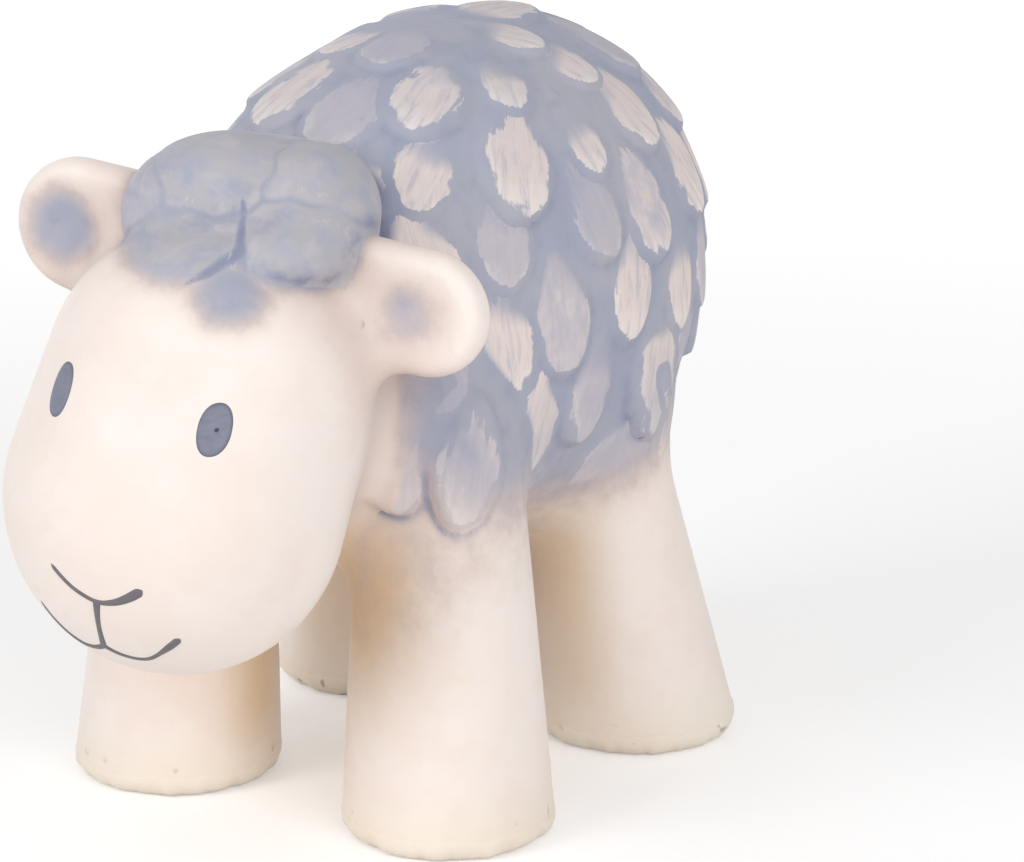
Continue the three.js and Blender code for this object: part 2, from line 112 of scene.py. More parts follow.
class Part(Enum):
    """A piece that the skin is parted into: the name of the CAD node that it stands for."""

    BODY = "body_shell"
    HEAD = "head_shell"
    TOPKNOT = "topknot"
    EAR_LEFT = "ear_left"
    EAR_RIGHT = "ear_right"
    TAIL = "tail"
    LEG_FRONT_LEFT = "leg_front_left"
    LEG_FRONT_RIGHT = "leg_front_right"
    LEG_REAR_LEFT = "leg_rear_left"
    LEG_REAR_RIGHT = "leg_rear_right"


LEGS = {
    Part.LEG_FRONT_LEFT: Side.LEFT,
    Part.LEG_FRONT_RIGHT: Side.RIGHT,
    Part.LEG_REAR_LEFT: Side.LEFT,
    Part.LEG_REAR_RIGHT: Side.RIGHT,
}
EARS = {Part.EAR_LEFT: Side.LEFT, Part.EAR_RIGHT: Side.RIGHT}
WOOLLY = {Part.BODY, Part.TOPKNOT, Part.TAIL, *LEGS}


@cache
def box_mm(node: str) -> tuple[Array, Array]:
    """The lowest and highest corner of a CAD node, in millimetres."""
    low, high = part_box(node)
    return np.array(low) / MM, np.array(high) / MM


def middle_mm(node: str) -> Array:
    """The middle of a CAD node's box, in millimetres."""
    low, high = box_mm(node)
    return (low + high) / 2


def smooth_step(low: float, high: float, value: Array) -> Array:
    """0 below low, 1 above high, with a soft climb between."""
    share = np.clip((value - low) / (high - low), 0.0, 1.0)
    return share * share * (3.0 - 2.0 * share)


def smooth_min(first: Array, second: Array, reach: float) -> Array:
    """The lower of two distances, with a fillet where they are within reach of each other."""
    share = np.clip(0.5 + 0.5 * (second - first) / reach, 0.0, 1.0)
    return second + (first - second) * share - reach * share * (1.0 - share)


def round_cone(points: Array, foot: Array, tip: Array, foot_radius: float, tip_radius: float) -> Array:
    """The distance to two spheres and the cone that wraps them.

    Args:
        points: Places, one row each.
        foot: The middle of the first sphere.
        tip: The middle of the second sphere.
        foot_radius: The first sphere's radius.
        tip_radius: The second sphere's radius.

    Returns:
        One distance for each place, less than 0 inside.
    """
    axis = tip - foot
    long2 = float(axis @ axis)
    taper = foot_radius - tip_radius
    slant2 = long2 - taper * taper
    away = points - foot
    along = away @ axis
    beyond = along - long2
    out2 = ((away * long2 - np.outer(along, axis)) ** 2).sum(1)
    edge = np.sign(taper) * taper * taper * out2
    along2 = along * along * long2
    beyond2 = beyond * beyond * long2
    distance = (np.sqrt(out2 * slant2 / long2) + along * taper) / long2 - foot_radius
    low = np.sign(along) * slant2 * along2 < edge
    distance[low] = np.sqrt(out2[low] + along2[low]) / long2 - foot_radius
    high = np.sign(beyond) * slant2 * beyond2 > edge
    distance[high] = np.sqrt(out2[high] + beyond2[high]) / long2 - tip_radius
    return distance


def ellipsoid(points: Array, middle: Array, half: Array) -> Array:
    """About the distance to an ellipsoid with its axes along the frame's.

    Args:
        points: Places, one row each.
        middle: Its middle.
        half: Its half sizes.

    Returns:
        One distance for each place, less than 0 inside.
    """
    away = points - middle
    near = np.linalg.norm(away / half, axis=1)
    slope = np.linalg.norm(away / half**2, axis=1) + 1e-9
    return near * (near - 1.0) / slope


@dataclass(frozen=True)
class Body:
    """The plump body, a rounded block whose rump is tipped up a little."""

    half: tuple[float, float, float] = (24.9, 37.7, 29.9)
    squareness: float = 2.15
    middle_height: float = 55.0
    pitch: float = 3.6

    def middle(self) -> Array:
        """The middle of the body, over the middle of the rattle ball."""
        rattle = middle_mm("rattle_case_upper")
        return np.array([rattle[0], rattle[1], self.middle_height])

    def inward(self, points: Array) -> Array:
        """Places of the part's frame in the body's own, about its middle."""
        sine, cosine = math.sin(math.radians(self.pitch)), math.cos(math.radians(self.pitch))
        return (points - self.middle()) @ np.array([[1, 0, 0], [0, cosine, -sine], [0, sine, cosine]])

    def distance(self, points: Array) -> Array:
        """The distance of each place to the body's surface.

        Args:
            points: Places, one row each.

        Returns:
            One distance for each place, less than 0 inside.
        """
        away = np.abs(self.inward(points)) / np.array(self.half) + 1e-9
        near = (away**self.squareness).sum(1) ** (1.0 / self.squareness)
        slope = (away / near[:, None]) ** (self.squareness - 1.0) / np.array(self.half)
        return (near - 1.0) / np.linalg.norm(slope, axis=1)


@dataclass(frozen=True)
class Hip:
    """The top of a leg: its radius, and how far its foot stands outside it, across and along."""

    radius: float
    side: float
    along: float


@dataclass(frozen=True)
class Leg:
    """One leg, a post that flares from its hip to its foot."""

    foot_radius: float = 11.9
    hip_height: float = 40.0
    front_hip: Hip = Hip(9.0, 2.0, -1.6)
    rear_hip: Hip = Hip(7.2, 4.0, 4.4)
    bottom: float = 2.0
    edge: float = 0.3

    def hip_of(self, part: Part) -> Hip:
        """The hip of a leg."""
        return self.front_hip if "front" in part.value else self.rear_hip

    def ends(self, part: Part) -> tuple[Array, Array]:
        """The middle of the foot on the floor, and of the hip.

        Args:
            part: The leg.

        Returns:
            The two places, in the part's frame.
        """
        sole = middle_mm(part.value.replace("leg", "sole"))
        foot = np.array([sole[0], sole[1], 0.0])
        hip = self.hip_of(part)
        return foot, foot + np.array([-LEGS[part].value * hip.side, -hip.along, self.hip_height])

    def post(self, part: Part, points: Array) -> Array:
        """The distance of each place to the leg, before it is cut off above its sole."""
        foot, hip = self.ends(part)
        return round_cone(points, foot, hip, self.foot_radius, self.hip_of(part).radius)

    def distance(self, part: Part, points: Array) -> Array:
        """The distance of each place to the leg, which is cut off level above its sole."""
        return -smooth_min(-self.post(part, points), points[:, 2] - self.bottom, self.edge)

    def width(self, part: Part, middle: Array, turns: Array) -> Array:
        """How far the leg's side is from a place on its axis, level and in each direction.

        Args:
            part: The leg.
            middle: The place on its axis.
            turns: Each direction as an angle from +X towards +Y.

        Returns:
            The distance in each direction.
        """
        ways = np.stack([np.cos(turns), np.sin(turns), np.zeros(len(turns))], axis=1)
        near = np.zeros(len(turns))
        far = np.full(len(turns), 2 * self.foot_radius)
        for _ in range(24):
            half = (near + far) / 2
            inside = self.post(part, middle + ways * half[:, None]) < 0
            near = np.where(inside, half, near)
            far = np.where(inside, far, half)
        return near


@dataclass(frozen=True)
class Ear:
    """One ear: its middle from the middle of the head, outwards and up, and its radius."""

    out: float
    up: float
    radius: float


@dataclass(frozen=True)
class Head:
    """The head, neck, ears and topknot, in a frame of their own."""

    ahead: float = 56.0
    side: float = 3.0
    drop: float = 12.6
    turn: float = 7.5
    tilt: float = 7.0
    muzzle_radius: float = 18.5
    crown_radius: float = 17.9
    crown_rise: float = 10.9
    crown_back: float = 5.4
    flattening: float = 0.88
    neck_radius: float = 13.0
    chest_radius: float = 19.0
    neck_rise: float = 6.5
    neck_length: float = 38.0
    left_ear: Ear = Ear(21.5, 22.9, 6.7)
    right_ear: Ear = Ear(20.4, 23.2, 7.3)
    ear_thickness: float = 4.2
    ear_edge: float = 1.8
    ear_dish: float = 1.1
    ear_dish_floor: float = 0.5
    ear_lip: float = 0.8
    ear_back: float = 11.5
    lobes: tuple[tuple[tuple[float, float, float], tuple[float, float, float]], ...] = (
        ((-1.0, -0.3, -4.7), (8.4, 9.2, 5.5)),
        ((7.8, 4.3, -1.0), (5.5, 9.5, 4.6)),
        ((-2.8, 5.6, 1.9), (7.8, 7.1, 6.4)),
        ((6.9, 7.9, 2.4), (5.4, 6.9, 6.1)),
        ((-8.2, 4.6, -0.8), (5.3, 6.7, 5.2)),
        ((0.2, 13.0, 0.8), (8.7, 7.3, 6.0)),
    )
    lobe_reach: float = 4.5
    carve_depth: float = 0.12
    carve_width: float = 0.7

    def middle(self) -> Array:
        """The middle of the muzzle in the part's frame."""
        return Body().middle() + np.array([self.side, -self.ahead, -self.drop])

    def turned(self) -> Array:
        """The head's rotation: a tip to its left, then a turn.

        Returns:
            The matrix from the head's frame to the part's.
        """
        tilt, turn = math.radians(self.tilt), math.radians(self.turn)
        tip = [[math.cos(tilt), 0, math.sin(tilt)], [0, 1, 0], [-math.sin(tilt), 0, math.cos(tilt)]]
        face = [[math.cos(turn), -math.sin(turn), 0], [math.sin(turn), math.cos(turn), 0], [0, 0, 1]]
        return np.array(face) @ np.array(tip)

    def inward(self, points: Array) -> Array:
        """Places of the part's frame in the head's own."""
        return (points - self.middle()) @ self.turned()

    def outward(self, points: Array) -> Array:
        """Places of the head's frame in the part's."""
        return points @ self.turned().T + self.middle()

    def egg(self, local: Array) -> Array:
        """The distance to the smooth egg of the head, near enough.

        Args:
            local: Places in the head's frame.

        Returns:
            One distance for each place.
        """
        squeezed = local / np.array([1.0, self.flattening, 1.0])
        crown = np.array([0.0, self.crown_back / self.flattening, self.crown_rise])
        near = round_cone(squeezed, np.zeros(3), crown, self.muzzle_radius, self.crown_radius)
        return near * math.sqrt(self.flattening)

    def neck(self, local: Array) -> Array:
        """The distance to the neck, which widens into the chest.

        Args:
            local: Places in the head's frame.

        Returns:
            One distance for each place.
        """
        start = np.array([0.0, 0.0, self.neck_rise])
        end = start + np.array([0.0, self.neck_length, 0.0])
        return round_cone(local, start, end, self.neck_radius, self.chest_radius)

    def ear_of(self, side: Side) -> Ear:
        """The ear on a side."""
        return self.left_ear if side is Side.LEFT else self.right_ear

    def ear_middle(self, side: Side) -> Array:
        """The middle of an ear in the head's frame."""
        return np.array([side.value * self.ear_of(side).out, self.ear_back, self.ear_of(side).up])

    def ear(self, local: Array, side: Side) -> Array:
        """The distance to an ear, a dished flap that runs into the head at its full width.

        Args:
            local: Places in the head's frame.
            side: The ear's side.

        Returns:
            One distance for each place.
        """
        away = local - self.ear_middle(side)
        ear = self.ear_of(side)
        root = np.clip(-side.value * away[:, 0], 0.0, ear.out - self.crown_radius / 2)
        flat = np.hypot(away[:, 0] + side.value * root, away[:, 2])
        spread = np.hypot(away[:, 0], away[:, 2])
        dish = self.ear_dish * (1.0 - smooth_step(self.ear_dish_floor, ear.radius - self.ear_lip, spread))
        half = self.ear_thickness / 2
        through = np.maximum(-away[:, 1] - (half - dish), away[:, 1] - half)
        rim = flat - ear.radius + self.ear_edge
        face = through + self.ear_edge
        outside = np.hypot(np.maximum(rim, 0.0), np.maximum(face, 0.0))
        return outside + np.minimum(np.maximum(rim, face), 0.0) - self.ear_edge

    def each_lobe(self, local: Array) -> Array:
        """The distance to each lobe of the topknot, one row a lobe."""
        crown = np.array([0.0, self.crown_back, self.crown_rise + self.crown_radius])
        return np.stack([ellipsoid(local, crown + np.array(at), np.array(half)) for at, half in self.lobes])

    def lobe_gap(self, lobes: Array) -> Array:
        """How much farther the second nearest lobe is than the nearest, 0 on a crease."""
        nearest = np.partition(lobes, 1, axis=0)
        return nearest[1] - nearest[0]

    def topknot(self, local: Array) -> Array:
        """The distance to the topknot, one cap of wool with a crease carved between its lobes.

        Args:
            local: Places in the head's frame.

        Returns:
            One distance for each place.
        """
        lobes = self.each_lobe(local)
        wool = lobes[0]
        for lobe in lobes[1:]:
            wool = smooth_min(wool, lobe, self.lobe_reach)
        return wool + self.carve_depth * np.exp(-((self.lobe_gap(lobes) / self.carve_width) ** 2))


@dataclass(frozen=True)
class Tail:
    """A flat lock of wool on the rump."""

    grow: float = 0.6

    def distance(self, points: Array) -> Array:
        """The distance of each place to the tail, which hangs where the CAD tail does.

        Args:
            points: Places, one row each.

        Returns:
            One distance for each place.
        """
        low, high = box_mm("tail")
        half = (high - low) / 2
        middle = (low + high) / 2
        deep = half[0] * 0.66
        middle[1] = high[1] - deep
        return ellipsoid(points, middle, np.array([half[0] + self.grow, deep, half[2] + self.grow]))


@dataclass
class Skin:
    """The whole rubber skin as one field of distances, and the surface where it is 0."""

    body: Body = field(default_factory=Body)
    leg: Leg = field(default_factory=Leg)
    head: Head = field(default_factory=Head)
    tail: Tail = field(default_factory=Tail)
    hip_reach: float = 8.0
    chest_reach: float = 9.0
    jaw_reach: float = 3.0
    ear_reach: float = 5.0
    wool_reach: float = 0.9
    tail_reach: float = 1.4
    voxel: float = 0.5
    margin: float = 2.5
    coarse: int = 5

    def parts(self, points: Array) -> dict[Part, Array]:
        """The distance of each place to each part by itself.

        Args:
            points: Places, one row each.

        Returns:
            The distances by part.
        """
        local = self.head.inward(points)
        found = {
            Part.BODY: self.body.distance(points),
            Part.HEAD: smooth_min(self.head.egg(local), self.head.neck(local), self.jaw_reach),
            Part.TOPKNOT: self.head.topknot(local),
            Part.TAIL: self.tail.distance(points),
        }
        for part, side in EARS.items():
            found[part] = self.head.ear(local, side)
        for part in LEGS:
            found[part] = self.leg.distance(part, points)
        return found

    def joined(self, found: dict[Part, Array]) -> Array:
        """The distances to the skin that flows over all parts.

        Args:
            found: The distance of each place to each part.

        Returns:
            One distance for each place.
        """
        legs = [found[part] for part in LEGS]
        stand = np.minimum(np.minimum(legs[0], legs[1]), np.minimum(legs[2], legs[3]))
        whole = smooth_min(found[Part.BODY], stand, self.hip_reach)
        whole = smooth_min(whole, found[Part.HEAD], self.chest_reach)
        for part in EARS:
            whole = smooth_min(whole, found[part], self.ear_reach)
        whole = smooth_min(whole, found[Part.TOPKNOT], self.wool_reach)
        return smooth_min(whole, found[Part.TAIL], self.tail_reach)

    def distance(self, points: Array) -> Array:
        """The distance of each place to the skin."""
        return self.joined(self.parts(points))

    def slope(self, points: Array, step: float = 0.05) -> Array:
        """How the distance changes along X, Y and Z at each place.

        Args:
            points: Places, one row each.
            step: How far to each side it looks.

        Returns:
            One row for each place.
        """
        columns = []
        for axis in np.eye(3) * step:
            columns.append((self.distance(points + axis) - self.distance(points - axis)) / (2 * step))
        return np.stack(columns, axis=1)

    def settle(self, points: Array, rounds: int = 2, most: float = 0.6) -> Array:
        """Places moved straight onto the skin.

        Args:
            points: Places, one row each.
            rounds: How often each is moved.
            most: The farthest move.

        Returns:
            The places on the skin.
        """
        for _ in range(rounds):
            slope = self.slope(points)
            away = self.distance(points) / ((slope**2).sum(1) + 1e-9)
            step = slope * away[:, None]
            long = np.linalg.norm(step, axis=1, keepdims=True) + 1e-9
            points = points - step * np.minimum(1.0, most / long)
        return points

    def grid(self) -> tuple[Array, Array]:
        """The distances on a fine grid round the sheep, exact near the skin only.

        Returns:
            The grid's distances, and its lowest corner.
        """
        low = np.array(CAD_BOX[0]) / MM - self.margin
        high = np.array(CAD_BOX[1]) / MM + self.margin
        wide = self.voxel * self.coarse
        blocks = np.ceil((high - low) / wide).astype(int)
        axes = [low[k] + (np.arange(blocks[k]) + 0.5) * wide for k in range(3)]
        middles = np.stack(np.meshgrid(*axes, indexing="ij"), axis=-1).reshape(-1, 3)
        rough = self.distance(middles).reshape(blocks)
        values = np.repeat(np.repeat(np.repeat(rough, self.coarse, 0), self.coarse, 1), self.coarse, 2)
        near = np.argwhere(np.abs(rough) < wide * 1.4)
        inner = np.stack(np.meshgrid(*[np.arange(self.coarse)] * 3, indexing="ij"), axis=-1).reshape(-1, 3)
        cells = (near[:, None, :] * self.coarse + inner[None, :, :]).reshape(-1, 3)
        values[tuple(cells.T)] = self.distance(low + (cells + 0.5) * self.voxel)
        return np.ascontiguousarray(values, dtype=np.float32), low + self.voxel / 2

    def surface(self) -> tuple[Array, Array]:
        """The skin as a mesh of quads with corners on it, facing outwards.

        Returns:
            The corners in millimetres, and four indices for each quad.
        """
        values, low = self.grid()
        volume = openvdb.FloatGrid(self.margin)
        volume.copyFromArray(values)
        points, quads = volume.convertToQuads(isovalue=0.0)
        points = points.astype(float) * self.voxel + low
        quads = quads.astype(np.int64)
        corner = points[quads]
        normal = np.cross(corner[:, 2] - corner[:, 0], corner[:, 3] - corner[:, 1])
        if (normal * corner.mean(1)).sum() < 0:
            quads = quads[:, ::-1]
        return self.settle(blurred(points, quads, 2)), quads


def blurred(values: Array, quads: Array, rounds: int, share: float = 0.5) -> Array:
    """What a mesh keeps at its corners, with each moved towards the mean of its neighbours.

    Args:
        values: A number or a row of numbers for each corner.
        quads: The corners of each face.
        rounds: How often it is done.
        share: How far each goes towards the mean.

    Returns:
        The values, blurred.
    """
    starts, ends = quads.ravel(), np.roll(quads, -1, axis=1).ravel()
    size = len(values)
    count = np.bincount(starts, minlength=size) + np.bincount(ends, minlength=size)
    columns = values.reshape(size, -1).copy()
    for _ in range(rounds):
        for column in columns.T:
            total = np.bincount(ends, column[starts], size) + np.bincount(starts, column[ends], size)
            column += share * (total / np.maximum(count, 1) - column)
    return columns.reshape(values.shape)


class Wire:
    """A number or vector on its way between nodes; arithmetic on it adds Math nodes."""

    def __init__(self, graph: "Graph", socket: bpy.types.NodeSocket) -> None:
        """Wraps one output socket of a node."""
        self.graph = graph
        self.socket = socket

    def __add__(self, other: Any) -> "Wire":
        """This plus other."""
        return self.graph.math("ADD", self, other)

    def __radd__(self, other: Any) -> "Wire":
        """Other plus this."""
        return self.graph.math("ADD", other, self)

    def __sub__(self, other: Any) -> "Wire":
        """This less other."""
        return self.graph.math("SUBTRACT", self, other)

    def __rsub__(self, other: Any) -> "Wire":
        """Other less this."""
        return self.graph.math("SUBTRACT", other, self)

    def __mul__(self, other: Any) -> "Wire":
        """This times other."""
        return self.graph.math("MULTIPLY", self, other)

    def __rmul__(self, other: Any) -> "Wire":
        """Other times this."""
        return self.graph.math("MULTIPLY", other, self)

    def __truediv__(self, other: Any) -> "Wire":
        """This divided by other."""
        return self.graph.math("DIVIDE", self, other)

    def __pow__(self, other: Any) -> "Wire":
        """This to the power of other."""
        return self.graph.math("POWER", self, other)


class Graph:
    """The nodes of one tree, of a material or of a shape."""

    def __init__(self, tree: bpy.types.NodeTree) -> None:
        """Wraps an empty node tree."""
        self.tree = tree

    def node(self, kind: str, settings: dict[str, Any] | None = None,
             values: dict[str | int, Any] | None = None, out: str | int = 0) -> Wire:
        """Adds a node.

        Args:
            kind: The node's type.
            settings: Its own settings, which are made first.
            values: A value or a wire for each input socket, by its name or place.
            out: The name or place of the output socket that is wanted.

        Returns:
            That output.
        """
        made = self.tree.nodes.new(kind)
        for name, value in (settings or {}).items():
            setattr(made, name, value)
        inputs = [socket for socket in made.inputs if socket.enabled]
        for key, value in (values or {}).items():
            socket = inputs[key] if isinstance(key, int) else next(s for s in inputs if s.name == key)
            if isinstance(value, Wire):
                self.tree.links.new(value.socket, socket)
            else:
                socket.default_value = value
        outputs = [socket for socket in made.outputs if socket.enabled]
        if not outputs:
            return Wire(self, None)
        found = outputs[out] if isinstance(out, int) else next(s for s in outputs if s.name == out)
        return Wire(self, found)

    def output(self, wire: Wire, name: str) -> Wire:
        """Another output of the node that a wire comes from."""
        outputs = wire.socket.node.outputs
        return Wire(self, next(s for s in outputs if s.name == name and s.enabled))

    def math(self, operation: str, *values: Any) -> Wire:
        """A Math node on up to three numbers."""
        return self.node("ShaderNodeMath", {"operation": operation}, dict(enumerate(values)))

    def vector(self, operation: str, *values: Any, out: str = "Vector") -> Wire:
        """A Vector Math node."""
        return self.node("ShaderNodeVectorMath", {"operation": operation}, dict(enumerate(values)), out)

    def scaled(self, vector: Wire, factor: Any) -> Wire:
        """A vector times a number."""
        values = {"Vector": vector, "Scale": factor}
        return self.node("ShaderNodeVectorMath", {"operation": "SCALE"}, values)

    def joined(self, x: Any, y: Any, z: Any) -> Wire:
        """A vector from three numbers."""
        return self.node("ShaderNodeCombineXYZ", None, {0: x, 1: y, 2: z})

    def split(self, vector: Wire) -> tuple[Wire, Wire, Wire]:
        """The three numbers of a vector."""
        made = self.node("ShaderNodeSeparateXYZ", None, {0: vector})
        return self.output(made, "X"), self.output(made, "Y"), self.output(made, "Z")

    def step(self, value: Any, low: float, high: float) -> Wire:
        """0 below low, 1 above high, with a soft climb between."""
        settings = {"interpolation_type": "SMOOTHSTEP"}
        return self.node("ShaderNodeMapRange", settings, {"Value": value, "From Min": low, "From Max": high})

    def blend(self, factor: Any, first: Any, second: Any) -> Wire:
        """A colour between first, at 0, and second, at 1."""
        values = {"Factor": factor, "A": first, "B": second}
        return self.node("ShaderNodeMix", {"data_type": "RGBA"}, values)

    def coats(self, colour: Any, *layers: tuple[Wire, float, float, Any, Any]) -> Any:
        """A colour with others laid over it in turn.

        Args:
            colour: The lowest colour.
            layers: For each, what it follows, where that starts and is full, its strength and its colour.

        Returns:
            The colour on top.
        """
        for value, low, high, strength, above in layers:
            colour = self.blend(self.step(value, low, high) * strength, colour, above)
        return colour

    def named(self, name: str, kind: str = "FLOAT") -> Wire:
        """In a shape's tree, what the mesh keeps under a name."""
        return self.node("GeometryNodeInputNamedAttribute", {"data_type": kind}, {"Name": name}, "Attribute")

    def keep(self, shape: Wire, name: str, value: Wire, kind: str = "FLOAT", domain: str = "POINT") -> Wire:
        """In a shape's tree, the shape with a value kept on it under a name."""
        values = {"Geometry": shape, "Name": name, "Value": value}
        return self.node("GeometryNodeStoreNamedAttribute", {"data_type": kind, "domain": domain}, values)

    def smeared(self, value: Wire, rounds: int, kind: str = "FLOAT") -> Wire:
        """In a shape's tree, a value blurred over its neighbours."""
        values = {"Value": value, "Iterations": rounds}
        return self.node("GeometryNodeBlurAttribute", {"data_type": kind}, values)

    def kept(self, name: str, out: str = "Fac") -> Wire:
        """In a material, a number or a vector that the mesh keeps under a name."""
        return self.node("ShaderNodeAttribute", {"attribute_name": name}, None, out)

    def noise(self, where: Wire, scale: float, detail: float, rough: float = 0.5, bend: float = 0.0) -> Wire:
        """A soft random pattern from 0 to 1."""
        values = {"Vector": where, "Scale": scale, "Detail": detail, "Roughness": rough, "Distortion": bend}
        return self.node("ShaderNodeTexNoise", None, values, "Fac")

    def relief(self, height: Wire, strength: float, deep: float) -> Wire:
        """The normal that a height gives, with the strength and depth of its relief."""
        values = {"Strength": strength, "Distance": deep, "Height": height}
        return self.node("ShaderNodeBump", None, values, "Normal")


@dataclass(frozen=True)
class Fleece:
    """Rows of locks that overlap like shingles, laid over the skin by geometry nodes."""

    rows: int = 8
    round: int = 21
    fewest: int = 5
    start: float = 6.0
    end: float = 148.0
    half_width: float = 4.5
    half_length: float = 6.8
    half_thickness: float = 0.74
    pillow: float = 0.6
    sunk: float = 0.45
    lift: float = 4.0
    swing: float = 20.0
    sweep: float = 40.0
    low_from: float = 70.0
    low_to: float = 115.0
    low_wide: float = 0.1
    low_long: float = 0.3
    scatter: float = 0.18
    vary: float = 0.16
    shade_reach: int = 8
    shade_depth: float = 0.45
    seed: int = 11
    reach: float = 4.0
    farthest: float = 10.0
    pad_around: int = 28
    pad_rings: int = 22
    taper: float = 0.3

    def sizes(self, body: Body) -> dict[str, Any]:
        """The value of each named input of the tree.

        Args:
            body: The body that the rows of locks run round.

        Returns:
            The values by their names.
        """
        return {
            "Rows": self.rows,
            "Locks Round": self.round,
            "Fewest Locks": self.fewest,
            "First Row": math.radians(self.start),
            "Row Step": math.radians((self.end - self.start) / self.rows),
            "Lock Size": Vector((self.half_width, self.half_length, self.half_thickness)) * MM,
            "Pillow": self.pillow,
            "Shade Depth": self.shade_depth * MM,
            "Sunk": self.sunk * MM,
            "Lift": math.radians(self.lift),
            "Swing": math.radians(self.swing),
            "Sweep": math.radians(self.sweep),
            "Scatter": self.scatter,
            "Vary": self.vary,
            "Body Middle": Vector(body.middle()) * MM,
            "Body Half": Vector(body.half) * MM,
            "Body Pitch": math.radians(body.pitch),
            "Squareness": body.squareness,
            "Reach": self.reach * MM,
            "Farthest": self.farthest * MM,
            "Seed": self.seed,
        }

    def tree(self, given: dict[str, Any]) -> bpy.types.NodeTree:
        """The node tree that raises the locks on a skin.

        Args:
            given: A value of the right kind for each named input.

        Returns:
            The tree.
        """
        kinds = {
            int: "NodeSocketInt",
            float: "NodeSocketFloat",
            Vector: "NodeSocketVector",
            Material: "NodeSocketMaterial",
        }
        tree = bpy.data.node_groups.new("fleece_locks", "GeometryNodeTree")
        graph = Graph(tree)
        tree.interface.new_socket("Skin", in_out="OUTPUT", socket_type="NodeSocketGeometry")
        tree.interface.new_socket("Skin", in_out="INPUT", socket_type="NodeSocketGeometry")
        for name, value in given.items():
            tree.interface.new_socket(name, in_out="INPUT", socket_type=kinds[type(value)])
        start = tree.nodes.new("NodeGroupInput")
        get = {name: Wire(graph, start.outputs[name]) for name in ("Skin", *given)}
        skin = self.raised(graph, get, self.locks(graph, get))
        skin = graph.node("GeometryNodeRealizeInstances", None, {0: skin})
        skin = graph.node("GeometryNodeSetMaterial", None, {"Geometry": skin, "Material": get["Paint"]})
        end = tree.nodes.new("NodeGroupOutput")
        tree.links.new(skin.socket, end.inputs["Skin"])
        return tree

    def chance(self, graph: Graph, get: dict[str, Wire], which: int, low: float, high: float) -> Wire:
        """A number from low to high that differs from lock to lock.

        Args:
            graph: The nodes that it adds to.
            get: The tree's named inputs.
            which: A different number for each use.
            low: The lowest.
            high: The highest.

        Returns:
            The number.
        """
        index = graph.node("GeometryNodeInputIndex")
        seed = get["Seed"] + which
        values = {"Min": low, "Max": high, "ID": index, "Seed": seed}
        return graph.node("FunctionNodeRandomValue", {"data_type": "FLOAT"}, values)

    def on_body(self, graph: Graph, get: dict[str, Wire], polar: Wire, turn: Wire) -> tuple[Wire, Wire]:
        """A place on the body by its angles, and the way out of the body there.

        Args:
            graph: The nodes that it adds to.
            get: The tree's named inputs.
            polar: The angle from straight up.
            turn: The angle round the upright axis.

        Returns:
            The place and the way out.
        """
        out = graph.math("SINE", polar)
        ways = [out * graph.math("COSINE", turn), out * graph.math("SINE", turn), graph.math("COSINE", polar)]
        halves = graph.split(get["Body Half"])
        power = get["Squareness"]
        sizes = [graph.math("ABSOLUTE", way) for way in ways]
        total = sizes[0] ** power + sizes[1] ** power + sizes[2] ** power
        scale = total ** (-1.0 * graph.math("DIVIDE", 1.0, power))
        place, slope = [], []
        for way, size, half in zip(ways, sizes, halves):
            sign = graph.math("SIGN", way)
            unit = size * scale
            place.append(sign * unit * half)
            slope.append(sign * (unit ** (power - 1.0)) / half)
        turned = [
            graph.node("ShaderNodeVectorRotate", {"rotation_type": "X_AXIS"}, {
                "Vector": graph.joined(*values), "Angle": get["Body Pitch"]})
            for values in (place, slope)
        ]
        return graph.vector("ADD", turned[0], get["Body Middle"]), graph.vector("NORMALIZE", turned[1])

    def outermost(self, graph: Graph, get: dict[str, Wire], place: Wire, out: Wire) -> Wire:
        """The woolly skin straight outside a place on the body, or the place itself where there is none.

        Args:
            graph: The nodes that it adds to.
            get: The tree's named inputs.
            place: A place on the body.
            out: The way out there.

        Returns:
            The place on the skin.
        """
        ray = graph.node("GeometryNodeRaycast", {"data_type": "FLOAT"}, {
            "Target Geometry": get["Skin"],
            "Attribute": graph.named("fleece"),
            "Source Position": graph.vector("ADD", place, graph.scaled(out, get["Farthest"])),
            "Ray Direction": graph.scaled(out, -1.0),
            "Ray Length": get["Farthest"],
        })
        woolly = graph.math("GREATER_THAN", graph.output(ray, "Attribute"), 0.3)
        away = graph.vector("SUBTRACT", graph.output(ray, "Hit Position"), place)
        return graph.vector("ADD", place, graph.scaled(away, woolly))

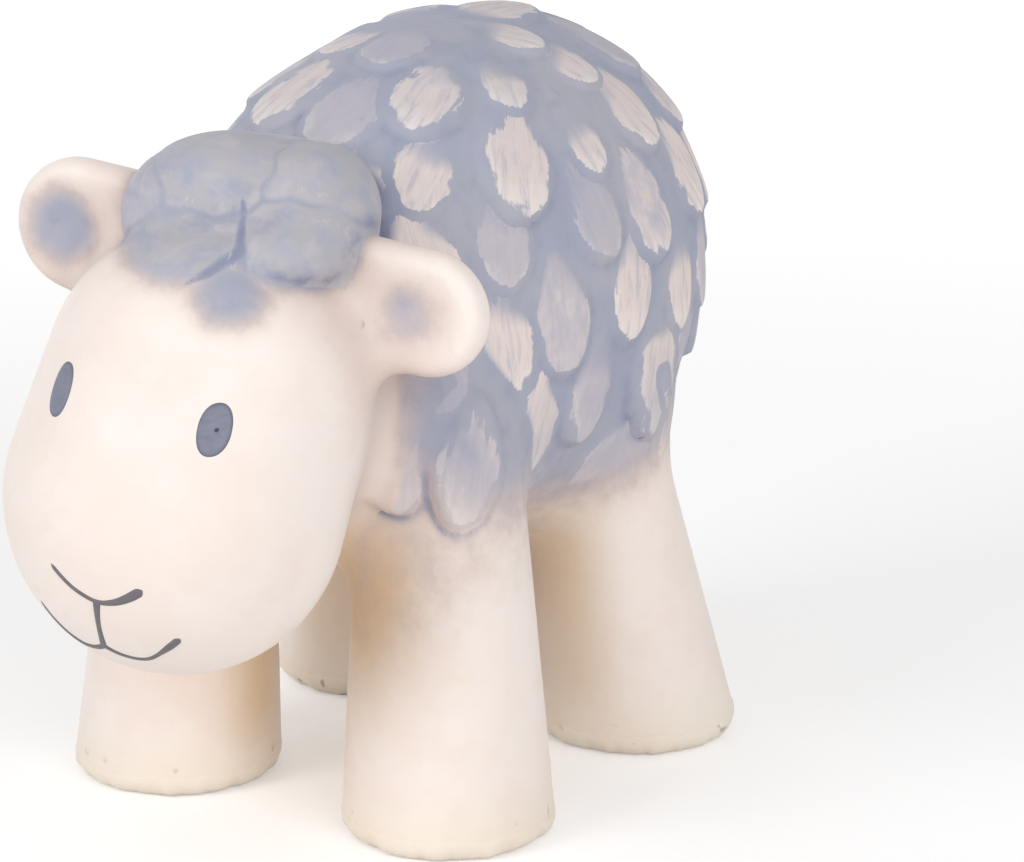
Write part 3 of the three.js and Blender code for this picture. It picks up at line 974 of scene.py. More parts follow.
    def locks(self, graph: Graph, get: dict[str, Wire]) -> Wire:
        """The locks as a mesh, each a low pad whose lower end stands off the body.

        Args:
            graph: The nodes that it adds to.
            get: The tree's named inputs.

        Returns:
            The locks' geometry.
        """
        index = graph.node("GeometryNodeInputIndex")
        count = get["Rows"] * get["Locks Round"]
        points = graph.node("GeometryNodePoints", None, {"Count": count})
        row = graph.math("FLOOR", (index + 0.5) / get["Locks Round"])
        lock = index - row * get["Locks Round"]
        middle = get["First Row"] + (row + 0.5) * get["Row Step"]
        full = graph.math("ROUND", get["Locks Round"] * graph.math("SINE", middle))
        there = graph.math("MAXIMUM", get["Fewest Locks"], full)
        down = self.chance(graph, get, 1, -1.0, 1.0) * get["Scatter"]
        aside = self.chance(graph, get, 2, -1.0, 1.0) * get["Scatter"]
        polar = get["First Row"] + (row + 0.55 + down) * get["Row Step"]
        stagger = graph.math("MODULO", row, 2.0) * 0.5
        turn = (lock + stagger + aside) * (2 * math.pi) / there
        place, out = self.on_body(graph, get, polar, turn)
        lower, _ = self.on_body(graph, get, polar + 0.02, turn)
        downward = graph.vector("SUBTRACT", lower, place)
        place = self.outermost(graph, get, place, out)
        found = graph.node("GeometryNodeProximity", {"target_element": "FACES"}, {
            0: get["Skin"], "Sample Position": place})
        on_skin, off = graph.output(found, "Position"), graph.output(found, "Distance")
        out = graph.node("GeometryNodeSampleNearestSurface", {"data_type": "FLOAT_VECTOR"}, {
            "Mesh": get["Skin"], "Value": graph.node("GeometryNodeInputNormal"), "Sample Position": place})
        deep = graph.scaled(out, get["Sunk"] * -1.0)
        points = graph.keep(points, "off_skin", off)
        points = graph.node("GeometryNodeSetPosition", None, {
            "Geometry": points, "Position": graph.vector("ADD", on_skin, deep)})
        near = graph.math("LESS_THAN", graph.named("off_skin"), get["Farthest"])
        pose = graph.node("FunctionNodeAxesToRotation", {"primary_axis": "Z", "secondary_axis": "Y"}, {
            "Primary Axis": out, "Secondary Axis": downward})
        low = graph.step(polar, math.radians(self.low_from), math.radians(self.low_to))
        swing = self.chance(graph, get, 3, -1.0, 1.0) * get["Swing"]
        swing = swing - graph.math("COSINE", turn) * low * get["Sweep"]
        lean = graph.node("FunctionNodeEulerToRotation", None, {0: graph.joined(get["Lift"], 0.0, swing)})
        pose = graph.node("FunctionNodeRotateRotation", {"rotation_space": "LOCAL"}, {
            "Rotation": pose, "Rotate By": lean})
        size = self.chance(graph, get, 4, -1.0, 1.0) * get["Vary"] + 1.0
        wide, long = size * (1.0 + low * self.low_wide), size * (1.0 + low * self.low_long)
        pads = graph.node("GeometryNodeInstanceOnPoints", None, {
            "Points": points,
            "Selection": graph.math("LESS_THAN", lock, there - 0.5) * near,
            "Instance": self.pad(graph, get),
            "Rotation": pose,
            "Scale": graph.joined(wide, long, size),
        })
        pads = graph.keep(pads, "lock_chance", self.chance(graph, get, 5, 0.0, 1.0), domain="INSTANCE")
        return graph.node("GeometryNodeRealizeInstances", None, {0: pads})

    def pad(self, graph: Graph, get: dict[str, Wire]) -> Wire:
        """One lock: a flattened ball that remembers each point's place on it, across, along and up.

        Args:
            graph: The nodes that it adds to.
            get: The tree's named inputs.

        Returns:
            The lock's geometry, about its own middle.
        """
        ball = graph.node("GeometryNodeMeshUVSphere", None, {
            "Segments": self.pad_around, "Rings": self.pad_rings, "Radius": 1.0}, "Mesh")
        across, along, up = graph.split(graph.node("GeometryNodeInputPosition"))
        out = graph.math("SQRT", across * across + along * along)
        spread = graph.math("MAXIMUM", out, 0.05) ** (get["Pillow"] - 1.0)
        ball = graph.node("GeometryNodeSetPosition", None, {
            "Geometry": ball, "Position": graph.joined(across * spread, along * spread, up)})
        here = graph.node("GeometryNodeInputPosition")
        ball = graph.keep(ball, "lock_point", here, "FLOAT_VECTOR")
        across, along, up = graph.split(here)
        narrow = 1.0 - self.taper * graph.math("MAXIMUM", along * -1.0, 0.0)
        shape = graph.joined(across * narrow, along, up)
        return graph.node("GeometryNodeSetPosition", None, {
            "Geometry": ball, "Position": graph.vector("MULTIPLY", shape, get["Lock Size"])})

    def raised(self, graph: Graph, get: dict[str, Wire], locks: Wire) -> Wire:
        """The skin, raised to the top of the locks, with what the paint needs stored on it.

        Args:
            graph: The nodes that it adds to.
            get: The tree's named inputs.
            locks: The locks' geometry.

        Returns:
            The skin's geometry.
        """
        normal = graph.node("GeometryNodeInputNormal")
        here = graph.node("GeometryNodeInputPosition")
        across, along, _ = graph.split(graph.named("lock_point", "FLOAT_VECTOR"))
        ray = graph.node("GeometryNodeRaycast", {"data_type": "FLOAT_VECTOR", "mapping": "INTERPOLATED"}, {
            "Target Geometry": locks,
            "Attribute": graph.joined(across, along, graph.named("lock_chance")),
            "Source Position": graph.vector("ADD", here, graph.scaled(normal, get["Reach"])),
            "Ray Direction": graph.scaled(normal, -1.0),
            "Ray Length": get["Reach"],
        })
        hit, deep = graph.output(ray, "Is Hit"), graph.output(ray, "Hit Distance")
        place = graph.output(ray, "Attribute")
        rise = graph.math("MAXIMUM", (get["Reach"] - deep) * hit * graph.named("fleece"), 0.0)
        skin = graph.keep(get["Skin"], "lock_rise", graph.smeared(rise, 2))
        place = graph.vector("ADD", place, graph.scaled(graph.joined(2.0, 2.0, 0.0), 1.0 - hit))
        skin = graph.keep(skin, "lock_place", place, "FLOAT_VECTOR")
        settled = graph.named("lock_place", "FLOAT_VECTOR")
        spread = graph.smeared(settled, 1, "FLOAT_VECTOR")
        jump = graph.vector("LENGTH", graph.vector("SUBTRACT", spread, settled), out="Value")
        jump = graph.math("MAXIMUM", jump, graph.smeared(jump, 1) * 1.8)
        skin = graph.keep(skin, "lock_jump", jump)
        # Painted shade below the locks: how far each point lies under the blurred height of the locks round
        # it.
        kept = graph.named("lock_rise")
        shade = (graph.smeared(kept, self.shade_reach) - kept) / get["Shade Depth"]
        skin = graph.keep(skin, "lock_shade", shade)
        return graph.node("GeometryNodeSetPosition", None, {
            "Geometry": skin, "Offset": graph.scaled(normal, kept)})

    def grow(self, skin: bpy.types.Object, body: Body, paint: Material) -> Mesh:
        """Raises the locks on a skin.

        Args:
            skin: The smooth skin, with its "fleece" attribute.
            body: The body that the rows run round.
            paint: The material of the result.

        Returns:
            The raised skin as a plain mesh, with as many points in the same order.
        """
        modifier = skin.modifiers.new("fleece", "NODES")
        given = {**self.sizes(body), "Paint": paint}
        modifier.node_group = self.tree(given)
        for item in modifier.node_group.interface.items_tree:
            if item.in_out == "INPUT" and item.name in given:
                modifier[item.identifier] = given[item.name]
        graph = bpy.context.evaluated_depsgraph_get()
        mesh = bpy.data.meshes.new_from_object(skin.evaluated_get(graph))
        skin.modifiers.remove(modifier)
        return mesh


@dataclass
class Masks:
    """Where paint and painted shade lie on the skin, one number a corner."""

    skin: Skin
    haze_span: tuple[float, float] = (30.0, 47.0)
    haze_drop: float = 6.0
    haze_drop_place: float = 12.0
    haze_drop_reach: float = 12.0
    haze_lift: float = 8.0
    haze_front: tuple[float, float] = (-26.0, -12.0)
    chest_span: tuple[float, float] = (-3.0, 4.5)
    nape_span: tuple[float, float] = (52.0, 60.0)
    face_span: tuple[float, float] = (1.5, 4.0)
    wool_edge: float = 0.9
    # The head's painted shadow on the left front leg and chest: its strength, then where it lies.
    head_shadow: float = 0.27
    head_shadow_reach: tuple[float, float] = (21.0, 9.0)
    head_shadow_side: tuple[float, float] = (4.0, 12.0)
    head_shadow_bottom: tuple[float, float] = (14.0, 26.0)
    head_shadow_top: tuple[float, float] = (50.0, 42.0)
    head_shadow_edge: tuple[float, float] = (0.5, 3.0)
    legs_span: tuple[float, float] = (32.0, 40.0)
    fleece_span: tuple[float, float] = (148.0, 126.0)
    ear_spots: dict[Side, tuple[float, float, float]] = field(
        default_factory=lambda: {Side.LEFT: (0.66, -1.9, 3.7), Side.RIGHT: (1.35, -1.3, 3.8)})
    # Lines of painted shade along the creases of the brow and topknot: a place in the head's frame and a
    # width at each point.
    crease_shade_line: tuple[tuple[float, float, float, float], ...] = (
        (2.2, 4.8, 32.3, 0.3),
        (3.2, 3.2, 30.2, 0.4),
        (4.8, 0.4, 28.2, 0.85),
        (3.8, -1.1, 27.3, 0.85),
        (2.8, -2.8, 26.1, 0.7),
        (1.2, -4.2, 25.0, 0.35),
    )
    brow_place: tuple[float, float, float] = (5.8, -3.2, 25.1)
    brow_radius: float = 4.4
    brow_strength: float = 0.9
    stray: float = 0.3
    shallow: float = 0.5
    ridge_place: float = 1.5
    ridge_width: float = 0.5
    foot_height: float = 7.0
    nooks: tuple[float, ...] = (1.2, 2.5, 5.0, 9.0)
    rooms: tuple[float, ...] = (6.0, 9.0, 12.0, 15.0, 19.0)
    blur_rounds: int = 70

    def fleece(self, points: Array, found: dict[Part, Array]) -> Array:
        """1 where locks stand up, fading out low on the flanks, and next to the head.

        Args:
            points: Places, one row each.
            found: The distance of each place to each part.

        Returns:
            One number for each place.
        """
        body = self.skin.body
        away = body.inward(points) / np.array(body.half)
        polar = np.degrees(np.arccos(np.clip(away[:, 2] / np.linalg.norm(away, axis=1), -1.0, 1.0)))
        down = smooth_step(*self.fleece_span, polar)
        ears = np.minimum(found[Part.EAR_LEFT], found[Part.EAR_RIGHT])
        wool = smooth_step(0.3, 1.6, np.minimum(found[Part.TOPKNOT], ears))
        legs = smooth_step(*self.legs_span, points[:, 2])
        return down * wool * legs * smooth_step(0.0, 2.5, found[Part.HEAD])

    def spray_and_shadow(self, points: Array, found: dict[Part, Array]) -> Array:
        """The sprayed blue, full on the body and topknot and fading down the legs and chest, with the head's
        painted shadow on the left front leg and chest.

        Args:
            points: Places, one row each.
            found: The distance of each place to each part.

        Returns:
            One number for each place.
        """
        head, height = self.skin.head, points[:, 2]
        local = head.inward(points)
        between = np.exp(-(((points[:, 1] - self.haze_drop_place) / self.haze_drop_reach) ** 2))
        front = 1.0 - smooth_step(*self.haze_front, points[:, 1])
        high = smooth_step(*self.haze_span, height + self.haze_drop * between - self.haze_lift * front)
        face = np.minimum(head.egg(local), np.minimum(found[Part.EAR_LEFT], found[Part.EAR_RIGHT]))
        chest = smooth_step(*self.chest_span, found[Part.HEAD])
        body = high * np.maximum(chest, smooth_step(*self.nape_span, height))
        body *= smooth_step(*self.face_span, face)
        # The head's painted shadow on the left front leg and chest beside it.
        near = smooth_step(*self.head_shadow_reach, found[Part.HEAD]) * smooth_step(*self.head_shadow_side, points[:, 0])
        level = smooth_step(*self.head_shadow_bottom, height) * smooth_step(*self.head_shadow_top, height)
        head_shadow = self.head_shadow * near * level * smooth_step(*self.head_shadow_edge, found[Part.HEAD])
        wool = np.exp(-np.maximum(found[Part.TOPKNOT], 0.0) / self.wool_edge)
        brow = np.linalg.norm(local - np.array(self.brow_place), axis=1) / self.brow_radius
        spots = self.brow_strength * np.exp(-(brow**3))
        for side, (strength, aside, radius) in self.ear_spots.items():
            ear = local - head.ear_middle(side)
            away = np.hypot(ear[:, 0] - aside, ear[:, 2] + 0.2) / radius
            spots += strength * np.exp(-(away**2)) * (ear[:, 1] < 0)
        return np.clip(np.max([body, head_shadow, wool, spots], axis=0), 0.0, 1.0)

    def closeness(self, points: Array, reaches: tuple[float, ...]) -> Array:
        """How closed in each place is by the skin and the floor, from 0 to 1, at some distances; it sets the
        painted shade.

        Args:
            points: Places, one row each.
            reaches: The distances to look at.

        Returns:
            One number for each place.
        """
        out = self.skin.slope(points)
        out /= np.linalg.norm(out, axis=1, keepdims=True) + 1e-9
        total = np.zeros(len(points))
        for reach in reaches:
            there = points + out * reach
            floor = there[:, 2] / np.clip(-out[:, 2], 0.05, 1.0)
            clear = np.minimum(self.skin.distance(there), floor)
            total += np.clip(1.0 - clear / reach, 0.0, 1.0)
        return total / len(reaches) * smooth_step(self.skin.leg.bottom, self.foot_height, points[:, 2])

    def wool_marks(self, points: Array, found: dict[Part, Array]) -> tuple[Array, Array]:
        """Where shade is painted in the creases of the topknot and brow, and the brushed crests beside them.

        Args:
            points: Places, one row each.
            found: The distance of each place to each part.

        Returns:
            Two numbers for each place.
        """
        local = self.skin.head.inward(points)
        stray = local + self.stray * np.sin(local[:, [1, 2, 0]] * 1.1 + local[:, [2, 0, 1]] * 0.6)
        gap = self.skin.head.lobe_gap(self.skin.head.each_lobe(stray))
        wool = np.exp(-np.maximum(found[Part.TOPKNOT] - 0.8, 0.0) / 0.3)
        groove_shade = np.exp(-((gap / self.skin.head.carve_width) ** 2)) * wool
        ridge = np.exp(-(((gap - self.ridge_place) / self.ridge_width) ** 2))
        deep = np.zeros(len(points))
        for start, end in zip(self.crease_shade_line, self.crease_shade_line[1:]):
            foot, line = np.array(start[:3]), np.array(end[:3]) - np.array(start[:3])
            share = np.clip((local - foot) @ line / (line @ line), 0.0, 1.0)
            away = np.linalg.norm(local - foot - share[:, None] * line, axis=1)
            deep = np.maximum(deep, np.exp(-((away / (start[3] + (end[3] - start[3]) * share)) ** 2)))
        return np.maximum(groove_shade * self.shallow, deep), ridge * wool

    def all(self, points: Array, quads: Array, found: dict[Part, Array]) -> dict[str, Array]:
        """Every mask by its name.

        Args:
            points: Places, one row each.
            quads: The skin's faces.
            found: The distance of each place to each part.

        Returns:
            One number a corner for each name.
        """
        groove_shade, ridge = self.wool_marks(points, found)
        return {
            "fleece": self.fleece(points, found),
            "spray_and_shadow": self.spray_and_shadow(points, found),
            # How closed in each point is sets the painted shade: first in tight creases, then in wider
            # hollows such as between the legs.
            "nook_shade": blurred(self.closeness(points, self.nooks), quads, 3),
            "shelter_shade": blurred(self.closeness(points, self.rooms), quads, self.blur_rounds, 0.9),
            # Painted shade in the topknot's creases, then its brushed crests.
            "groove_shade": groove_shade,
            "ridge": ridge,
            "wool": (found[Part.TOPKNOT] < found[Part.BODY]).astype(float),
        }


def new_mesh(name: str, points: Array, faces: list[Any] | Array, smooth: bool = True) -> Mesh:
    """A mesh of corners and faces.

    Args:
        name: The mesh's name.
        points: The corners in millimetres.
        faces: The corners of each face, by index.
        smooth: Whether the faces are shaded as one smooth surface.

    Returns:
        The mesh, in metres.
    """
    mesh = bpy.data.meshes.new(name)
    corners = [tuple(point) for point in np.asarray(points) * MM]
    mesh.from_pydata(corners, [], [tuple(int(i) for i in face) for face in faces])
    mesh.update()
    mesh.polygons.foreach_set("use_smooth", [smooth] * len(mesh.polygons))
    return mesh


def new_object(name: str, mesh: Mesh, material: Material) -> bpy.types.Object:
    """An object of a mesh, in the scene and with a material.

    Args:
        name: The object's name.
        mesh: Its mesh.
        material: Its material.

    Returns:
        The object.
    """
    made = bpy.data.objects.new(name, mesh)
    mesh.materials.clear()
    mesh.materials.append(material)
    bpy.context.scene.collection.objects.link(made)
    return made


def store(mesh: Mesh, name: str, values: Array) -> None:
    """Keeps a number or a vector for each corner of a mesh.

    Args:
        mesh: The mesh.
        name: The name it is kept under.
        values: A number or a row of three for each corner.
    """
    if values.ndim == 1:
        mesh.attributes.new(name, "FLOAT", "POINT").data.foreach_set("value", values.astype(np.float32))
    else:
        kept = mesh.attributes.new(name, "FLOAT_VECTOR", "POINT")
        kept.data.foreach_set("vector", values.astype(np.float32).ravel())


def read(items: Any, key: str, wide: int) -> Array:
    """What each item of a mesh's collection holds under a key.

    Args:
        items: The collection, such as a mesh's vertices.
        key: The property's name.
        wide: How many numbers each item holds.

    Returns:
        A row for each item, or a number where it holds one.
    """
    values = np.empty(len(items) * wide, np.float32)
    items.foreach_get(key, values)
    return values.reshape(-1, wide) if wide > 1 else values


def stored(mesh: Mesh, name: str) -> Array:
    """A number or a vector that is kept for each corner of a mesh."""
    kept = mesh.attributes[name]
    return read(kept.data, "value", 1) if kept.data_type == "FLOAT" else read(kept.data, "vector", 3)


def round_mesh(name: str, rings: list[Array], first: Array, last: Array) -> Mesh:
    """A closed mesh from rings of corners, with one more corner in the middle of each end.

    Args:
        name: The mesh's name.
        rings: The rings from one end to the other, each of as many corners, in millimetres.
        first: The middle of the first ring's end.
        last: The middle of the last ring's end.

    Returns:
        The mesh, with its faces outwards.
    """
    around = len(rings[0])
    start_middle = len(rings) * around
    base = start_middle - around
    faces: list[list[int]] = []
    for j in range(around):
        after = (j + 1) % around
        faces.append([start_middle, j, after])
        faces.append([start_middle + 1, base + after, base + j])
        for ring in range(0, base, around):
            faces.append([ring + j, ring + around + j, ring + around + after, ring + after])
    return turned_out(new_mesh(name, np.concatenate([*rings, [first, last]]), faces))


def film_mesh(name: str, top: Array, low: Array, faces: list[list[int]]) -> Mesh:
    """A thin closed mesh from its upper and its lower skin.

    Args:
        name: The mesh's name.
        top: The upper corners, in millimetres.
        low: The lower corner for each of them.
        faces: The faces of the upper skin.

    Returns:
        The mesh, whose lower corners come after the upper ones.
    """
    count = len(top)
    edges = {(a, b): True for face in faces for a, b in zip(face, [*face[1:], face[0]])}
    under = [[count + corner for corner in reversed(face)] for face in faces]
    sides = [[b, a, count + a, count + b] for a, b in edges if (b, a) not in edges]
    return turned_out(new_mesh(name, np.concatenate([top, low]), [*faces, *under, *sides]))


def turned_out(mesh: Mesh) -> Mesh:
    """A closed mesh with its faces turned outwards if they pointed in.

    Args:
        mesh: The mesh.

    Returns:
        The same mesh.
    """
    volume = sum(polygon.area * polygon.normal.dot(polygon.center) for polygon in mesh.polygons)
    if volume < 0:
        mesh.flip_normals()
    return mesh


def finish_piece(piece: bpy.types.Object, body: str, node: str) -> None:
    """Puts a finished piece on its body, in place of its CAD node, and reports it.

    Args:
        piece: The piece's object.
        body: The moving body that it rides on.
        node: The CAD node that it stands for.
    """
    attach(piece, body)
    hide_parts(node)
    LOG.info("%s: %d faces, in place of %s", piece.name, len(piece.data.polygons), node)


@dataclass
class SkinPieces:
    """The skin parted into its pieces along the creases between them."""

    skin: Skin
    masks: Masks
    fleece: Fleece
    cap_ahead: float = 9.0
    farthest_shift: float = 0.45
    carried: tuple[str, ...] = (
        "fleece", "spray_and_shadow", "nook_shade", "shelter_shade", "groove_shade", "ridge", "wool",
        "lock_rise", "lock_shade", "lock_jump", "lock_place",
    )

    def labels(self, found: dict[Part, Array], quads: Array) -> Array:
        """The part that each quad belongs to, as an index into Part."""
        nearness = np.stack([found[part] for part in Part])
        return np.argmin(nearness[:, quads].mean(axis=2), axis=0)

    def tidied(self, points: Array, quads: Array, labels: Array) -> Array:
        """Corners between two parts moved along the skin onto the line where both are as near.

        Args:
            points: The skin's corners.
            quads: Its faces.
            labels: The part of each face.

        Returns:
            All corners.
        """
        parts = list(Part)
        lowest = np.full(len(points), len(parts))
        highest = np.full(len(points), -1)
        for k in range(4):
            np.minimum.at(lowest, quads[:, k], labels)
            np.maximum.at(highest, quads[:, k], labels)
        edge = np.flatnonzero(lowest != highest)
        spots = points[edge]
        rows = np.arange(len(edge))

        def gap(places: Array) -> Array:
            """How much nearer each place is to one of its parts than to the other.

            Args:
                places: A place for each moved corner.

            Returns:
                One distance for each.
            """
            found = self.skin.parts(places)
            near = np.stack([found[part] for part in parts])
            return near[lowest[edge], rows] - near[highest[edge], rows]

        step = 0.05
        for _ in range(2):
            pull = np.stack([(gap(spots + a) - gap(spots - a)) / (2 * step) for a in np.eye(3) * step], 1)
            slope = self.skin.slope(spots)
            slope /= np.linalg.norm(slope, axis=1, keepdims=True) + 1e-9
            pull -= slope * (pull * slope).sum(1, keepdims=True)
            move = pull * (gap(spots) / ((pull**2).sum(1) + 1e-3))[:, None]
            long = np.linalg.norm(move, axis=1, keepdims=True) + 1e-9
            spots = spots - move * np.minimum(1.0, self.farthest_shift * self.skin.voxel / long)
        points = points.copy()
        points[edge] = self.skin.settle(spots, 1)
        return points

    def rims(self, faces: Array) -> list[list[int]]:
        """The open edges of some faces as closed loops of corners.

        Args:
            faces: The faces, as rows of corners.

        Returns:
            The corners of each loop in order.
        """
        starts = faces.ravel()
        ends = np.roll(faces, -1, axis=1).ravel()
        inner = set(zip(ends.tolist(), starts.tolist()))
        after: dict[int, list[int]] = {}
        for a, b in zip(starts.tolist(), ends.tolist()):
            if (a, b) not in inner:
                after.setdefault(a, []).append(b)
        loops = []
        while after:
            first = next(iter(after))
            loop = [first]
            while True:
                following = after[loop[-1]]
                step = following.pop()
                if not following:
                    del after[loop[-1]]
                if step == first:
                    break
                loop.append(step)
            loops.append(loop)
        return loops

    def piece_mesh(self, name: str, raised: Mesh, faces: Array, normals: Array, places: Array,
                   ahead: float) -> Mesh:
        """One part of the skin as a closed mesh, capped inside where it meets its neighbours.

        Args:
            name: The mesh's name.
            raised: The whole skin.
            faces: The quads of this part.
            normals: The whole skin's normal at each corner, so that no seam shows.
            places: The whole skin's corners, in millimetres.
            ahead: How far a cap in the front half bulges forward, out of the rattle's way.

        Returns:
            The mesh, with the skin's attributes.
        """
        used = np.unique(faces)
        order = np.full(len(places), -1)
        order[used] = np.arange(len(used))
        source = used.tolist()
        points = places[used].tolist()
        made = order[faces].tolist()
        outer = len(made)
        for loop in self.rims(faces):
            ring = list(range(len(points), len(points) + len(loop)))
            points += places[loop].tolist()
            middle = len(points)
            x, y, z = places[loop].mean(axis=0).tolist()
            points.append([x, y - ahead if y < 0.0 else y, z])
            source += loop + [loop[0]]
            for k, a in enumerate(ring):
                made.append([ring[(k + 1) % len(ring)], a, middle])
        mesh = new_mesh(name, np.array(points), made)
        for key in self.carried:
            store(mesh, key, stored(raised, key)[source])
        corner_normals = np.zeros((len(mesh.loops), 3))
        vertex = np.empty(len(mesh.loops), np.int32)
        mesh.loops.foreach_get("vertex_index", vertex)
        outer_loops = outer * 4
        corner_normals[:outer_loops] = normals[np.array(source)[vertex[:outer_loops]]]
        for polygon in mesh.polygons[outer:]:
            corner_normals[list(polygon.loop_indices)] = polygon.normal
        mesh.normals_split_custom_set(corner_normals)
        return mesh

    def build(self, fleece_paint: Material, rubber: Material) -> None:
        """Makes every piece of the skin and puts it in place of its CAD node.

        Args:
            fleece_paint: The material of what has wool.
            rubber: The material of the rest.
        """
        points, quads = self.skin.surface()
        found = self.skin.parts(points)
        labels = self.labels(found, quads)
        points = self.tidied(points, quads, labels)
        LOG.info("skin: %d quads", len(quads))
        smooth = new_mesh("smooth_skin", points, quads)
        for name, values in self.masks.all(points, quads, self.skin.parts(points)).items():
            store(smooth, name, values)
        whole = new_object("smooth_skin", smooth, fleece_paint)
        raised = self.fleece.grow(whole, self.skin.body, fleece_paint)
        bpy.data.objects.remove(whole)
        places = read(raised.vertices, "co", 3).astype(float) / MM
        normals = read(raised.vertex_normals, "vector", 3)
        for index, part in enumerate(Part):
            name = part.value.replace("_shell", "") + "_skin"
            ahead = self.cap_ahead if part is Part.BODY else 0.0
            mesh = self.piece_mesh(name, raised, quads[labels == index], normals, places, ahead)
            woolly = part in WOOLLY
            piece = new_object(name, mesh, fleece_paint if woolly else rubber)
            finish_piece(piece, "sheep", part.value)


def new_material(name: str) -> tuple[Material, Graph]:
    """A material without nodes, and the graph to fill.

    Args:
        name: The material's name.

    Returns:
        The material and its graph.
    """
    made = bpy.data.materials.new(name)
    made.use_nodes = True
    made.node_tree.nodes.clear()
    return made, Graph(made.node_tree)


@dataclass(frozen=True)
class Finish:
    """A finish: one main shader, whose sockets each kind of finish fills in its own way."""

    name: str

    def look(self, graph: Graph, here: Wire) -> dict[str, Any]:
        """What goes into the main shader's sockets, by their names."""
        raise NotImplementedError

    def material(self) -> Material:
        """The finish as a material.

        Returns:
            The material, with its patterns on the piece's own coordinates.
        """
        made, graph = new_material(self.name)
        here = graph.node("ShaderNodeTexCoord", None, None, "Object")
        shader = graph.node("ShaderNodeBsdfPrincipled", None, self.look(graph, here))
        graph.node("ShaderNodeOutputMaterial", None, {"Surface": shader})
        return made


